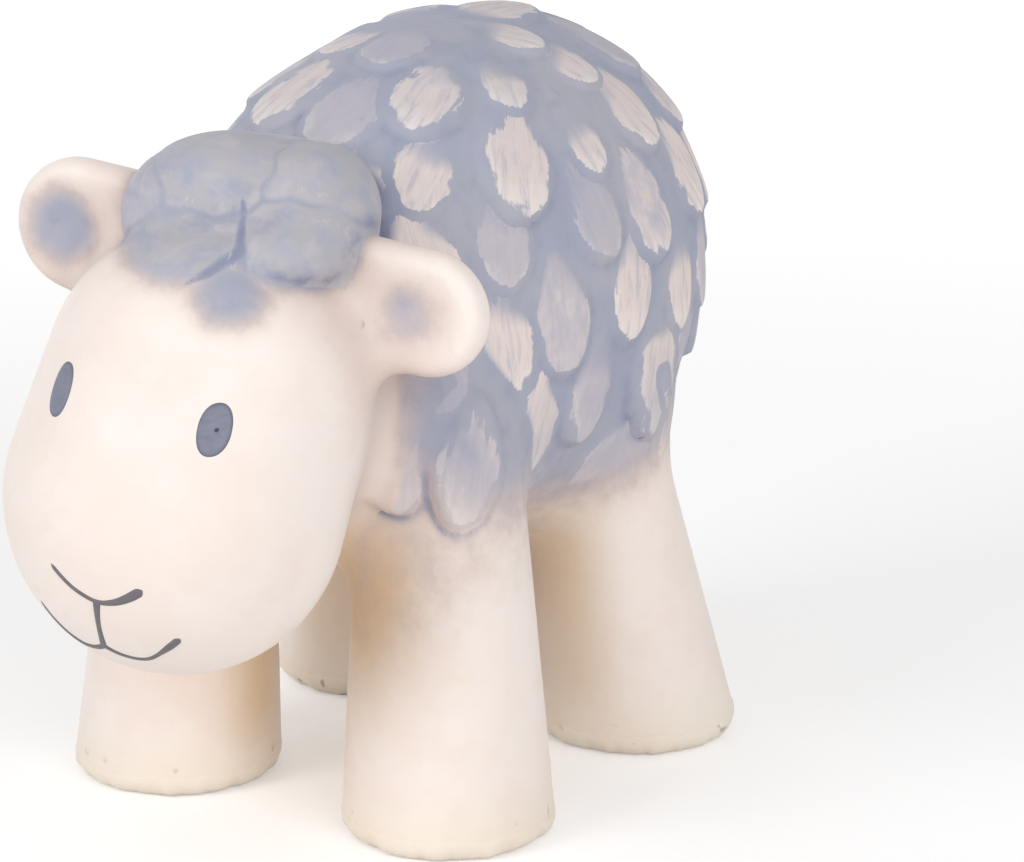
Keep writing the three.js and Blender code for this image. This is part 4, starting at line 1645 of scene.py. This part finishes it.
@dataclass(frozen=True)
class PaintedRubber(Finish):
    """Cream rubber with sprayed blue paint and painted shade on it, and on the wool a dry-brushed cream on
    each lock.
    """

    brushed: bool
    cream: Rgba = srgb(250, 239, 232)
    blush: Rgba = srgb(246, 230, 221)
    # Painted shade colours, the next four: two for tight creases, two browner ones for hollows on the legs.
    warm_shade: Rgba = srgb(234, 213, 200)
    tan_shade: Rgba = srgb(230, 206, 174)
    deep_tan_shade: Rgba = srgb(226, 188, 124)
    crease: Rgba = srgb(190, 168, 158)
    stain: Rgba = srgb(236, 225, 192)
    nick: Rgba = srgb(150, 146, 116)
    blue: Rgba = srgb(168, 172, 191)
    # The next three: a deeper blue that is both a darker tone of the spray and painted shade, a dark blue
    # painted shadow for the deepest creases, and a pinkish grey for thin spray that is also painted shade.
    deep_blue_and_shade: Rgba = srgb(137, 143, 167)
    dark_blue_shadow: Rgba = srgb(98, 101, 124)
    mauve_spray_and_shade: Rgba = srgb(208, 189, 182)
    grey: Rgba = srgb(184, 183, 193)
    green_grey: Rgba = srgb(188, 185, 189)
    brush_cream: Rgba = srgb(238, 223, 217)
    brush_pale: Rgba = srgb(247, 237, 232)
    brush_grey: Rgba = srgb(208, 200, 207)
    roughness: float = 0.5
    specular: float = 0.32
    cloud_scale: float = 90.0
    mottle_scale: float = 420.0
    fine_scale: float = 1600.0
    grain_scale: float = 2600.0
    leg_top: tuple[float, float] = (25.0, 45.0)
    stain_top: tuple[float, float] = (0.5, 9.0)
    nick_top: tuple[float, float] = (2.0, 4.5)
    back_span: tuple[float, float] = (62.0, 84.0)
    flank_span: tuple[float, float] = (36.0, 54.0)
    shoulder_back: tuple[float, float] = (-16.0, -4.0)
    shoulder_top: tuple[float, float] = (50.0, 62.0)

    def look(self, graph: Graph, here: Wire) -> dict[str, Any]:
        """The rubber's colour, the sprayed blue over it and, on wool, the strokes over both.

        Args:
            graph: The nodes that it adds to.
            here: The place on the piece.

        Returns:
            The sockets' values.
        """
        broad = self.noise(graph, here, self.cloud_scale, 3.0)
        mottle = self.noise(graph, here, self.mottle_scale, 4.0)
        fine = self.noise(graph, here, self.fine_scale, 3.0)
        grain = self.noise(graph, here, self.grain_scale, 2.0)
        spray_and_shadow = graph.kept("spray_and_shadow")
        base = self.bare(graph, here, broad, mottle)
        soft = spray_and_shadow * (1.0 - spray_and_shadow) * 4.0
        ragged = spray_and_shadow + soft * ((mottle - 0.5) * 0.42 + (grain - 0.5) * 0.14)
        cover = graph.step(ragged, 0.2, 1.0)
        # Pinkish grey where the spray thins out; the head's painted shadow shows in it too.
        colour = graph.coats(base, (ragged, 0.0, 0.5, 0.8, self.mauve_spray_and_shade))
        colour = graph.blend(cover, colour, self.sprayed(graph, broad, mottle))
        # Painted shade in the topknot's creases, in deeper blue.
        groove_shade = graph.kept("groove_shade") + (mottle - 0.5) * 0.5
        colour = graph.coats(colour, (groove_shade, 0.35, 1.0, 0.8, self.deep_blue_and_shade))
        bump = fine * 0.3 + mottle * 0.4
        if self.brushed:
            colour, brush = self.dry_brushed(graph, here, colour, mottle, fine)
            bump = bump + brush * 0.55 + mottle * 0.4
        return {
            "Base Color": colour,
            "Roughness": self.roughness + (mottle - 0.5) * 0.16 + cover * 0.14,
            "Specular IOR Level": self.specular,
            "Normal": graph.relief(bump, 0.3, 0.0002),
        }

    def noise(self, graph: Graph, where: Wire, scale: float, detail: float, bend: float = 0.0) -> Wire:
        """A soft random pattern from 0 to 1, of the roughness that paint and rubber share."""
        return graph.noise(where, scale, detail, 0.55, bend)

    def bare(self, graph: Graph, here: Wire, broad: Wire, mottle: Wire) -> Wire:
        """The rubber's colour with painted shade, warmer, browner and darker where it is closed in, and
        stained at the trimmed feet.

        Args:
            graph: The nodes that it adds to.
            here: The place on the piece.
            broad: A pattern in wide clouds.
            mottle: A pattern a few millimetres across.

        Returns:
            The colour.
        """
        nook_shade = graph.kept("nook_shade")
        shelter_shade = graph.kept("shelter_shade") + (mottle - 0.5) * 0.06
        height = graph.split(here)[2] / MM
        leg = 1.0 - graph.step(height, *self.leg_top)
        low = 1.0 - graph.step(height, *self.nick_top)
        stained = height + (mottle - 0.5) * 5.0
        return graph.coats(
            self.cream,
            (broad, 0.38, 0.66, 0.7, self.blush),
            (mottle, 0.52, 0.75, 0.3, self.blush),
            (self.noise(graph, here, 150.0, 5.0, 1.0), 0.64, 0.8, 0.3, self.stain),
            # Painted shade in tight creases, warmer and then darker.
            (nook_shade, 0.05, 0.7, 0.6, self.warm_shade),
            (nook_shade, 0.45, 0.95, 0.6, self.crease),
            # Painted shade in wider hollows: pinkish grey above the tops of the legs, browner on the legs.
            (shelter_shade, 0.05, 0.6, (1.0 - leg) * 0.7, self.mauve_spray_and_shade),
            (shelter_shade, 0.05, 0.7, leg * 0.8, self.tan_shade),
            (shelter_shade, 0.45, 0.8, leg * 0.72, self.deep_tan_shade),
            (stained, *reversed(self.stain_top), 0.32, self.stain),
            (self.noise(graph, here, 380.0, 1.5), 0.66, 0.72, low * 0.7, self.nick),
        )

    def sprayed(self, graph: Graph, broad: Wire, mottle: Wire) -> Wire:
        """The sprayed blue, greyer in clouds, with painted shade that makes it deeper and darker in creases.

        Args:
            graph: The nodes that it adds to.
            broad: A pattern in wide clouds.
            mottle: A pattern a few millimetres across.

        Returns:
            The colour.
        """
        nook_shade = graph.kept("nook_shade")
        return graph.coats(
            self.blue,
            (broad, 0.35, 0.68, 0.8, self.grey),
            (mottle, 0.5, 0.8, 0.3, self.deep_blue_and_shade),
            # Painted shade in creases: deeper blue, then a dark blue shadow in the deepest.
            (nook_shade, 0.08, 0.45, 0.8, self.deep_blue_and_shade),
            (nook_shade, 0.3, 0.65, 0.75, self.dark_blue_shadow),
        )

    def dry_brushed(self, graph: Graph, here: Wire, colour: Wire, mottle: Wire,
                    fine: Wire) -> tuple[Wire, Wire]:
        """Cream brushed over the high part of each lock, thin and ragged at its edges.

        Args:
            graph: The material's nodes.
            here: The place on the piece.
            colour: The colour below the brush strokes.
            mottle: A pattern a few millimetres across.
            fine: A pattern below a millimetre.

        Returns:
            The colour with the strokes, and how much of them there is.
        """
        across, along, chance = graph.split(graph.kept("lock_place", "Vector"))
        rise = graph.kept("lock_rise") / MM
        tone, load = graph.math("FRACT", chance * 7.31), graph.math("FRACT", chance * 3.77)
        streaks = graph.noise(graph.joined(across * 6.0, along * 1.5, chance * 40.0), 1.0, 4.0, 0.6, 0.5)
        # Painted shade below each lock's lower lip, in deeper blue.
        colour = graph.coats(
            colour,
            (graph.kept("lock_shade"), 0.0, 0.8, 0.8, self.deep_blue_and_shade),
            (rise + (mottle - 0.5), 0.3, 1.1, 0.4, self.grey),
        )
        lower = along - 0.14
        out = graph.math("SQRT", across * across * 1.1 + lower * lower)
        upper = 1.0 - graph.step(along, -0.5, 0.5)
        blotch = self.noise(graph, graph.joined(across * 1.6, along * 1.6, chance * 90.0), 1.0, 1.0) - 0.5
        ragged = (mottle - 0.5) * 0.6 + blotch * 0.8 + (fine - 0.5) * 0.12
        ragged = ragged + (streaks - 0.5) * (upper * 0.9 + 0.25)
        inner = 1.0 - load * 0.22 - out + ragged
        brush = graph.step(inner, -0.03, 0.07) * graph.step(rise, 0.1, 0.3)
        brush = brush * (1.0 - graph.step(graph.kept("lock_jump"), 0.16, 0.32))
        brush = brush * (1.0 - graph.step(graph.kept("nook_shade"), 0.2, 0.45))
        thin = (graph.step(tone, 0.12, 0.3) * 0.35 + 0.6) * (graph.step(streaks, 0.3, 0.55) * 0.35 + 0.65)
        _, back, height = graph.split(here)
        back, height = back / MM, height / MM
        high = graph.step(height, *self.back_span)
        shoulder = 1.0 - graph.step(back, *self.shoulder_back)
        shoulder = shoulder * (1.0 - graph.step(height, *self.shoulder_top))
        low = graph.math("MAXIMUM", 1.0 - graph.step(height, *self.flank_span), shoulder)
        thin = thin * (1.0 - high * 0.28) * (1.0 - low * 0.5)
        pale = tone + (mottle - 0.5) * 0.6 - high * 0.12 - low * 0.6
        lip = graph.step(along + (fine - 0.5) * 0.3, 0.3, 0.85) * 0.7 + graph.step(streaks, 0.55, 0.7) * 0.4
        rim = (1.0 - graph.step(inner, 0.05, 0.25)) * 0.6
        dab = graph.coats(
            self.brush_grey,
            (pale, 0.2, 0.5, 1.0, self.brush_cream),
            (tone, 0.1, 0.6, lip, self.brush_pale),
            (along + across * 0.4, 0.0, 0.5, rim, self.brush_pale),
            (streaks, 0.5, 0.3, 0.4, self.brush_grey),
        )
        colour = graph.blend(brush * thin, colour, dab)
        return self.topknot_strokes(graph, here, colour, brush, mottle, fine)

    def topknot_strokes(self, graph: Graph, here: Wire, colour: Wire, brush: Wire, mottle: Wire,
                        fine: Wire) -> tuple[Wire, Wire]:
        """A grey-green sheen on the topknot, dark creases, and thin pale strokes beside them.

        Args:
            graph: The nodes that it adds to.
            here: The place on the piece.
            colour: The colour below.
            brush: The strokes so far.
            mottle: A pattern a few millimetres across.
            fine: A pattern below a millimetre.

        Returns:
            The colour, and how much of the strokes there is.
        """
        ridge = graph.kept("ridge")
        wool = graph.step(graph.kept("wool"), 0.4, 0.6)
        clear = wool * (1.0 - graph.step(graph.kept("groove_shade"), 0.2, 0.6))
        colour = graph.coats(
            colour,
            (mottle, 0.3, 0.62, clear * 0.85, self.green_grey),
            (self.noise(graph, here, 170.0, 5.0, 1.2), 0.5, 0.68, clear * 0.38, self.brush_grey),
        )
        hairs = self.noise(graph, graph.vector("MULTIPLY", here, (2.4, 0.8, 0.6)), 420.0, 3.0, 1.5)
        stroke = graph.step(ridge * 0.16 + hairs + (fine - 0.5) * 0.2, 0.68, 0.82) * wool
        return graph.blend(stroke * 0.45, colour, self.brush_grey), graph.math("MAXIMUM", brush, stroke)


@dataclass(frozen=True)
class FacePaint(Finish):
    """Matt paint, brushed on by hand, darker at its edge."""

    main: Rgba
    dark: Rgba
    nick: Rgba = srgb(52, 54, 74)
    roughness: float = 0.5

    def look(self, graph: Graph, here: Wire) -> dict[str, Any]:
        """Thin strokes, a darker rim and the nick that shows through.

        Args:
            graph: The nodes that it adds to.
            here: The place on the piece.

        Returns:
            The sockets' values.
        """
        strokes = graph.noise(graph.vector("MULTIPLY", here, (1.0, 1.0, 2.6)), 700.0, 4.0)
        return {
            "Base Color": graph.coats(
                self.main,
                (strokes, 0.4, 0.75, 0.35, self.dark),
                (graph.kept("edge"), 0.8, 1.0, 0.8, self.dark),
                (graph.kept("nick"), 0.3, 0.7, 1.0, self.nick),
            ),
            "Roughness": self.roughness + (strokes - 0.5) * 0.2,
            "Normal": graph.relief(strokes, 0.3, 0.00012),
        }


@dataclass(frozen=True)
class Moulded(Finish):
    """A plain moulded or turned finish with a fine grain."""

    colour: Rgba
    second: Rgba
    roughness: float
    metallic: float
    grain: float

    def look(self, graph: Graph, here: Wire) -> dict[str, Any]:
        """A fine grain, and a second colour in soft patches of wear.

        Args:
            graph: The nodes that it adds to.
            here: The place on the piece.

        Returns:
            The sockets' values.
        """
        grain = graph.noise(here, self.grain, 4.0)
        wear = graph.noise(here, self.grain / 6, 2.0)
        return {
            "Base Color": graph.coats(self.colour, (wear, 0.35, 0.7, 1.0, self.second)),
            "Metallic": self.metallic,
            "Roughness": self.roughness + (grain - 0.5) * 0.2,
            "Normal": graph.relief(grain, 0.25, 0.0001),
        }


@dataclass
class Soles:
    """The discs that close the feet, with a rough trimmed edge that laps over the leg.

    The profile goes from the top to the floor. Each ring has its height, how far it stands outside
    the leg's side, and how much of the lumps and of the waves it takes.
    """

    leg: Leg
    around: int = 160
    lump: float = 0.42
    seed: int = 5
    profile: tuple[tuple[float, float, float, float], ...] = (
        (2.6, -1.6, 0.0, 0.0),
        (2.75, -0.25, 0.0, 0.3),
        (2.7, 0.0, 0.0, 0.3),
        (2.5, 0.05, 0.0, 0.3),
        (2.0, 0.04, 0.15, 0.2),
        (1.5, -0.08, 0.5, 0.15),
        (1.0, -0.36, 0.9, 0.1),
        (0.6, -0.74, 1.0, 0.08),
        (0.28, -1.2, 1.0, 0.05),
        (0.08, -1.7, 0.9, 0.0),
        (0.0, -2.2, 0.6, 0.0),
        (0.0, -4.0, 0.0, 0.0),
    )

    def rough(self, rng: np.random.Generator, turns: Array) -> Array:
        """A lumpy outline, from -1 to 1, that closes on itself.

        Args:
            rng: The source of the random draws.
            turns: The angles round the foot.

        Returns:
            One number for each angle.
        """
        total = np.zeros(len(turns))
        for waves, size in ((3, 0.5), (7, 0.6), (13, 0.6), (23, 0.5), (41, 0.35)):
            total += size * np.sin(waves * turns + rng.uniform(0, 2 * math.pi))
        return total / 2.2

    def build(self, rubber: Material) -> None:
        """Makes the four soles.

        Args:
            rubber: The material.
        """
        rng = np.random.default_rng(self.seed)
        for part in LEGS:
            node = part.value.replace("leg", "sole")
            foot, hip = self.leg.ends(part)
            turns = np.arange(self.around) / self.around * 2 * math.pi
            lower, tread = self.rough(rng, turns), self.rough(rng, turns)
            rings = []
            for height, reach, lumps, wave in self.profile:
                middle = foot + (hip - foot) * height / self.leg.hip_height
                out = self.leg.width(part, middle, turns) + reach + lumps * self.lump * lower
                up = np.maximum(height + wave * tread, 0.0)
                across, along = middle[0] + out * np.cos(turns), middle[1] + out * np.sin(turns)
                rings.append(np.stack([across, along, up], axis=1))
            top = np.array([foot[0], foot[1], self.profile[0][0]])
            mesh = round_mesh(node + "_disc", rings, top, foot)
            for name in ("nook_shade", "shelter_shade", "spray_and_shadow", "groove_shade"):
                store(mesh, name, np.zeros(len(mesh.vertices)))
            finish_piece(new_object(node + "_disc", mesh, rubber), "sheep", node)


@dataclass
class Face:
    """The painted eyes and mouth, films that hug the head."""

    skin: Skin
    film: float = 0.14
    sunk: float = 0.12
    eye_out: float = 9.0
    eye_up: float = 12.6
    eye_half: tuple[float, float] = (1.48, 2.55)
    eye_lean: dict[Side, float] = field(default_factory=lambda: {Side.LEFT: 9.5, Side.RIGHT: 3.0})
    eye_squareness: float = 2.2
    eye_rings: int = 18
    eye_around: int = 72
    nick: tuple[float, float] = (9.2, 12.6)
    nick_radius: float = 0.24
    stroke_steps: int = 48
    stroke_columns: tuple[float, ...] = (-1.0, -0.8, -0.4, 0.0, 0.4, 0.8, 1.0)
    upper_lip: tuple[tuple[float, float], ...] = (
        (-5.7, -4.3), (-4.2, -5.35), (-2.45, -6.3), (0.0, -6.95), (1.95, -6.55), (3.65, -5.6), (5.2, -4.35),
    )
    upright: tuple[tuple[float, float], ...] = ((0.0, -6.9), (-0.25, -9.4), (-0.45, -11.6), (-0.7, -13.2))
    left_lip: tuple[tuple[float, float], ...] = (
        (-0.6, -13.15), (0.1, -13.5), (0.9, -13.8), (2.5, -14.0), (4.0, -13.7), (5.3, -12.8), (7.1, -11.1),
        (8.2, -9.9),
    )
    right_lip: tuple[tuple[float, float], ...] = (
        (-0.7, -13.2), (-2.0, -13.9), (-3.7, -14.2), (-5.6, -13.6), (-7.3, -12.2), (-8.8, -10.4),
    )

    def on_face(self, flat: Array) -> tuple[Array, Array]:
        """Places on the skin straight behind places on the face, across and up.

        Args:
            flat: Across and up in the head's frame, one row each.

        Returns:
            The places in the part's frame, and the way out of the skin there.
        """
        head = self.skin.head
        near = np.full(len(flat), -head.muzzle_radius * 1.5)
        far = np.zeros(len(flat))
        for _ in range(40):
            half = (near + far) / 2
            local = np.stack([flat[:, 0], half, flat[:, 1]], axis=1)
            inside = self.skin.distance(head.outward(local)) < 0
            far = np.where(inside, half, far)
            near = np.where(inside, near, half)
        places = head.outward(np.stack([flat[:, 0], far, flat[:, 1]], axis=1))
        slope = self.skin.slope(places)
        return places, slope / np.linalg.norm(slope, axis=1, keepdims=True)

    def eye(self, side: Side, paint: Material) -> None:
        """Makes one eye, an upright oval; the left one has a nick in its paint.

        Args:
            side: The eye's side.
            paint: The material.
        """
        lean = math.radians(self.eye_lean[side])
        flat, share = [[0.0, 0.0]], [0.0]
        for part in np.linspace(0.0, 1.0, self.eye_rings + 1)[1:]:
            for turn in np.arange(self.eye_around) / self.eye_around * 2 * math.pi:
                way = np.array([math.cos(turn), math.sin(turn)])
                size = part / (np.abs(way) ** self.eye_squareness).sum() ** (1 / self.eye_squareness)
                flat.append(list(way * size * np.array(self.eye_half)))
                share.append(part)
        flat, share = np.array(flat), np.array(share)
        spin = np.array([[math.cos(lean), -math.sin(lean)], [math.sin(lean), math.cos(lean)]])
        flat = flat @ spin.T + np.array([side.value * self.eye_out, self.eye_up])
        places, out = self.on_face(flat)
        dent = np.exp(-((np.linalg.norm(flat - np.array(self.nick), axis=1) / self.nick_radius) ** 2))
        top = places + out * (self.film * (1.0 - share**6) * (1.0 - 0.8 * dent))[:, None]
        low = places - out * self.sunk
        faces: list[list[int]] = []
        around = self.eye_around
        for j in range(around):
            after = (j + 1) % around
            faces.append([0, 1 + j, 1 + after])
            for start in range(1, 1 + (self.eye_rings - 1) * around, around):
                outer = start + around
                faces.append([start + j, outer + j, outer + after, start + after])
        name = "eye_" + side.name.lower()
        mesh = film_mesh(name + "_paint", top, low, faces)
        store(mesh, "edge", np.concatenate([share, share]))
        store(mesh, "nick", np.concatenate([dent, dent]))
        finish_piece(new_object(name + "_paint", mesh, paint), "sheep", name)

    def stroke(self, path: Array, widths: Array) -> tuple[Array, Array, Array]:
        """One brush stroke as a low rounded ridge along a path on the face.

        Args:
            path: Across and up in the head's frame, one row a step.
            widths: The stroke's width at each step.

        Returns:
            The upper and the lower corners, and how near the stroke's edge each is.
        """
        along = np.gradient(path, axis=0)
        along /= np.linalg.norm(along, axis=1, keepdims=True)
        aside = np.stack([-along[:, 1], along[:, 0]], axis=1)
        top, low, edge = [], [], []
        for column in self.stroke_columns:
            flat = path + aside * (column * widths / 2)[:, None]
            places, out = self.on_face(flat)
            thick = self.film * (1.0 - column**4) * np.minimum(1.0, widths / 0.5)
            top.append(places + out * thick[:, None])
            low.append(places - out * self.sunk)
            edge.append(np.full(len(path), abs(column)))
        return np.concatenate(top), np.concatenate(low), np.concatenate(edge)

    def smooth_path(self, stops: tuple[tuple[float, float], ...]) -> Array:
        """A smooth line through some points, in equal steps along it.

        Args:
            stops: The points.

        Returns:
            The steps, one row each.
        """
        rough = np.array(stops)
        ends = [2 * rough[0] - rough[1], *rough, 2 * rough[-1] - rough[-2]]
        line = []
        for before, start, end, after in zip(ends, ends[1:], ends[2:], ends[3:]):
            for t in np.linspace(0.0, 1.0, 24, endpoint=False):
                pull = 2 * start + (end - before) * t + (2 * before - 5 * start + 4 * end - after) * t**2
                line.append((pull + (3 * start - before - 3 * end + after) * t**3) / 2)
        line = np.array([*line, rough[-1]])
        long = np.concatenate([[0.0], np.cumsum(np.linalg.norm(np.diff(line, axis=0), axis=1))])
        steps = np.linspace(0.0, long[-1], self.stroke_steps)
        return np.stack([np.interp(steps, long, line[:, k]) for k in range(2)], axis=1)

    def mouth(self, paint: Material) -> None:
        """Makes the mouth: an upper line, an upright stroke and two lower lines from its foot.

        Args:
            paint: The material.
        """
        share = np.linspace(0.0, 1.0, self.stroke_steps)
        start = np.sqrt(np.clip(share * 22, 0.02, 1.0))
        end = np.sqrt(np.clip((1 - share) * 22, 0.02, 1.0))
        strokes = [
            (self.upper_lip, start * end * (0.5 + 0.55 * smooth_step(0.45, 0.95, share))),
            (self.upright, 0.95 - 0.3 * np.sin(share * math.pi) - 0.1 * share),
            (self.left_lip, (0.42 + 0.3 * smooth_step(0.6, 0.85, share)) * end + 0.3 * (1 - share) ** 6),
            (self.right_lip, end * (0.68 - 0.4 * share)),
        ]
        tops, lows, edges = zip(*[self.stroke(self.smooth_path(stops), widths) for stops, widths in strokes])
        faces: list[list[int]] = []
        steps, wide = self.stroke_steps, len(self.stroke_columns)
        for column in range(len(strokes) * wide):
            if (column + 1) % wide:
                for a in range(column * steps, (column + 1) * steps - 1):
                    faces.append([a, a + 1, a + steps + 1, a + steps])
        mesh = film_mesh("mouth_paint", np.concatenate(tops), np.concatenate(lows), faces)
        edge = np.concatenate(edges * 2)
        store(mesh, "edge", edge)
        store(mesh, "nick", np.zeros(len(edge)))
        finish_piece(new_object("mouth_paint", mesh, paint), "sheep", "mouth_line")

    def build(self, slate: Material, umber: Material) -> None:
        """Makes both eyes, in slate, and the mouth, in a warmer grey.

        Args:
            slate: The eyes' material.
            umber: The mouth's material.
        """
        for side in Side:
            self.eye(side, slate)
        self.mouth(umber)


@dataclass
class Rattle:
    """The plastic ball in two halves and the steel beads in it."""

    radius: float = 11.0
    wall: float = 1.2
    gap: float = 0.3
    lip_wall: float = 0.8
    lip_height: float = 1.2
    rim_height: float = 0.5
    rim_proud: float = 0.12
    bead_radius: float = 2.3
    beads: int = 4
    around: int = 96
    arc_steps: int = 28

    def middle(self) -> Array:
        """The middle of the ball.

        Returns:
            The place in millimetres.
        """
        middle = middle_mm("rattle_case_upper")
        middle[2] = box_mm("rattle_case_upper")[0][2]
        return middle

    def arc(self, radius: float, start: float, end: float) -> list[tuple[float, float]]:
        """Points along an arc about the ball's middle, from one angle above level to another."""
        angles = np.radians(np.linspace(start, end, self.arc_steps + 1))
        return [(radius * math.cos(a), radius * math.sin(a)) for a in angles]

    def turned(self, name: str, profile: list[tuple[float, float]], middle: Array) -> Mesh:
        """A closed round mesh.

        Args:
            name: The mesh's name.
            profile: Its radius and height at each ring; it starts and ends on the axis.
            middle: Where the profile's zero is.

        Returns:
            The mesh.
        """
        turns = np.arange(self.around) / self.around * 2 * math.pi
        rings = []
        for radius, height in profile[1:-1]:
            level = np.full(self.around, height)
            rings.append(np.stack([radius * np.cos(turns), radius * np.sin(turns), level], axis=1) + middle)
        ends = [middle + np.array([0.0, 0.0, profile[k][1]]) for k in (0, -1)]
        return round_mesh(name, rings, *ends)

    def build(self, plastic: Material, steel: Material) -> None:
        """Makes the two halves and the beads.

        Args:
            plastic: The halves' material.
            steel: The beads' material.
        """
        middle = self.middle()
        inside = self.radius - self.wall
        outer_lip = inside - self.gap
        inner_lip = outer_lip - self.lip_wall
        foot = -math.degrees(math.acos(inner_lip / inside))
        near_rim = math.degrees(math.asin(self.rim_height / self.radius))
        proud = self.radius + self.rim_proud
        lower = [
            *self.arc(self.radius, -90, -near_rim),
            (proud, -self.rim_height), (proud, 0.0), (outer_lip, 0.0), (outer_lip, self.lip_height),
            (inner_lip, self.lip_height), *self.arc(inside, foot, -90),
        ]
        upper = [
            *self.arc(inside, 90, 0),
            (proud, 0.0), (proud, self.rim_height),
            *self.arc(self.radius, near_rim, 90),
        ]
        for node, profile in (("rattle_case_lower", lower), ("rattle_case_upper", upper)):
            piece = new_object(node + "_half", self.turned(node + "_half", profile, middle), plastic)
            finish_piece(piece, "rattle_ball", node)
        for k in range(1, self.beads + 1):
            node = f"bead_{k}"
            ball = self.turned(node + "_ball", self.arc(self.bead_radius, -90, 90), middle_mm(node))
            finish_piece(new_object(node + "_ball", ball, steel), f"loose_bead_{k}", node)


@dataclass(frozen=True)
class Lamp:
    """A soft square lamp: where it stands, its power and its width, in metres and watts."""

    place: tuple[float, float, float]
    power: float
    size: float


@dataclass(frozen=True)
class Studio:
    """A plain pale floor, soft light and the camera, in metres."""

    azimuth: float = 32.7
    elevation: float = 15.8
    distance: float = 0.5
    lens: float = 153.67
    target_from_body_mm: tuple[float, float, float] = (10.05, -1.55, -17.0)
    floor_half: float = 3.0
    world_strength: float = 0.52
    key: Lamp = Lamp((-0.3, -0.83, 0.46), 2.75, 0.45)
    fill: Lamp = Lamp((0.75, -0.45, 0.4), 2.9, 0.6)
    rim: Lamp = Lamp((-0.7, 0.5, 0.25), 0.7, 0.5)
    lamp_aim: tuple[float, float, float] = (0.0, 0.0, 0.04)
    floor_white: float = 0.93
    floor_glow: float = 0.27
    far_glow: float = 0.24
    far_from: float = 0.12
    far_to: float = 0.5

    def stand(self, name: str, data: Any, place: Vector, back: Vector) -> bpy.types.Object:
        """Puts a camera or a lamp in its place.

        Args:
            name: The object's name.
            data: The camera or the lamp.
            place: Where it stands, in metres.
            back: The direction from what it points at to it.

        Returns:
            The object.
        """
        made = bpy.data.objects.new(name, data)
        made.location = place
        made.rotation_mode = "QUATERNION"
        made.rotation_quaternion = back.to_track_quat("Z", "Y")
        bpy.context.scene.collection.objects.link(made)
        return made

    def camera(self) -> None:
        """Puts the camera where the photograph was taken from."""
        azimuth, elevation = math.radians(self.azimuth), math.radians(self.elevation)
        back = Vector((
            math.sin(azimuth) * math.cos(elevation),
            -math.cos(azimuth) * math.cos(elevation),
            math.sin(elevation),
        ))
        target = Vector(Body().middle() + np.array(self.target_from_body_mm)) * MM
        data = bpy.data.cameras.new("camera")
        data.lens = self.lens
        data.clip_start = 0.01
        bpy.context.scene.camera = self.stand("camera", data, target + back * self.distance, back)

    def hang(self, name: str, lamp: Lamp) -> None:
        """Adds one lamp that points at the sheep.

        Args:
            name: The lamp's name.
            lamp: Its place, power and width.
        """
        data = bpy.data.lights.new(name, "AREA")
        data.size = lamp.size
        data.energy = lamp.power
        self.stand(name, data, Vector(lamp.place), Vector(lamp.place) - Vector(self.lamp_aim))

    def seen(self, graph: Graph) -> Wire:
        """1 for what the camera sees, straight or in a reflection or through glass, and 0 for plain light.

        Args:
            graph: The nodes that it adds to.

        Returns:
            The number.
        """
        path = graph.node("ShaderNodeLightPath")
        rays = [graph.output(path, f"Is {kind} Ray") for kind in ("Camera", "Glossy", "Transmission")]
        return graph.math("MINIMUM", rays[0] + rays[1] + rays[2], 1.0)

    def world(self) -> None:
        """An even white world: plain light on the sheep, and full white for what looks straight at it."""
        world = bpy.data.worlds.new("studio")
        bpy.context.scene.world = world
        world.use_nodes = True
        world.node_tree.nodes.clear()
        graph = Graph(world.node_tree)
        strength = self.world_strength + self.seen(graph) * (1.0 - self.world_strength)
        light = graph.node("ShaderNodeBackground", None, {"Color": WHITE, "Strength": strength})
        graph.node("ShaderNodeOutputWorld", None, {"Surface": light})

    def floor(self) -> None:
        """A wide white floor that keeps the sheep's soft shadow."""
        made, graph = new_material("white_floor")
        paint = graph.node("ShaderNodeBsdfDiffuse", None, {"Color": (*[self.floor_white] * 3, 1.0)})
        here = graph.node("ShaderNodeTexCoord", None, None, "Object")
        far = graph.step(graph.vector("LENGTH", here, out="Value"), self.far_from, self.far_to)
        strength = self.seen(graph) * (far * self.far_glow + self.floor_glow)
        glow = graph.node("ShaderNodeEmission", None, {"Color": WHITE, "Strength": strength})
        both = graph.node("ShaderNodeAddShader", None, {0: paint, 1: glow})
        graph.node("ShaderNodeOutputMaterial", None, {"Surface": both})
        corners = self.floor_half / MM * np.array([(-1, -1, 0), (1, -1, 0), (1, 1, 0), (-1, 1, 0)])
        new_object("floor", new_mesh("floor", corners, [(0, 1, 2, 3)], False), made)

    def build(self) -> None:
        """Makes the camera, the light and the floor."""
        self.camera()
        self.world()
        self.floor()
        for name, lamp in (("key", self.key), ("fill", self.fill), ("rim", self.rim)):
            self.hang(name, lamp)
        bpy.context.scene.view_settings.view_transform = "Standard"


def main() -> None:
    """Builds the sheep and the studio round it."""
    logging.basicConfig(level=logging.INFO, format="%(message)s")
    Studio().build()
    skin = Skin()
    fleece_paint = PaintedRubber("fleece_paint_on_rubber", True).material()
    rubber = PaintedRubber("cream_rubber", False).material()
    slate = FacePaint("slate_eye_paint", srgb(126, 129, 147), srgb(98, 101, 116)).material()
    umber = FacePaint("umber_mouth_paint", srgb(112, 108, 112), srgb(92, 86, 88)).material()
    plastic = Moulded("case_plastic", srgb(232, 228, 214), srgb(222, 216, 200), 0.38, 0.0, 900.0).material()
    steel = Moulded("bead_steel", srgb(176, 178, 182), srgb(158, 160, 165), 0.3, 1.0, 1500.0).material()
    SkinPieces(skin, Masks(skin), Fleece()).build(fleece_paint, rubber)
    Soles(skin.leg).build(rubber)
    Face(skin).build(slate, umber)
    Rattle().build(plastic, steel)


if __name__ == "__main__":
    main()
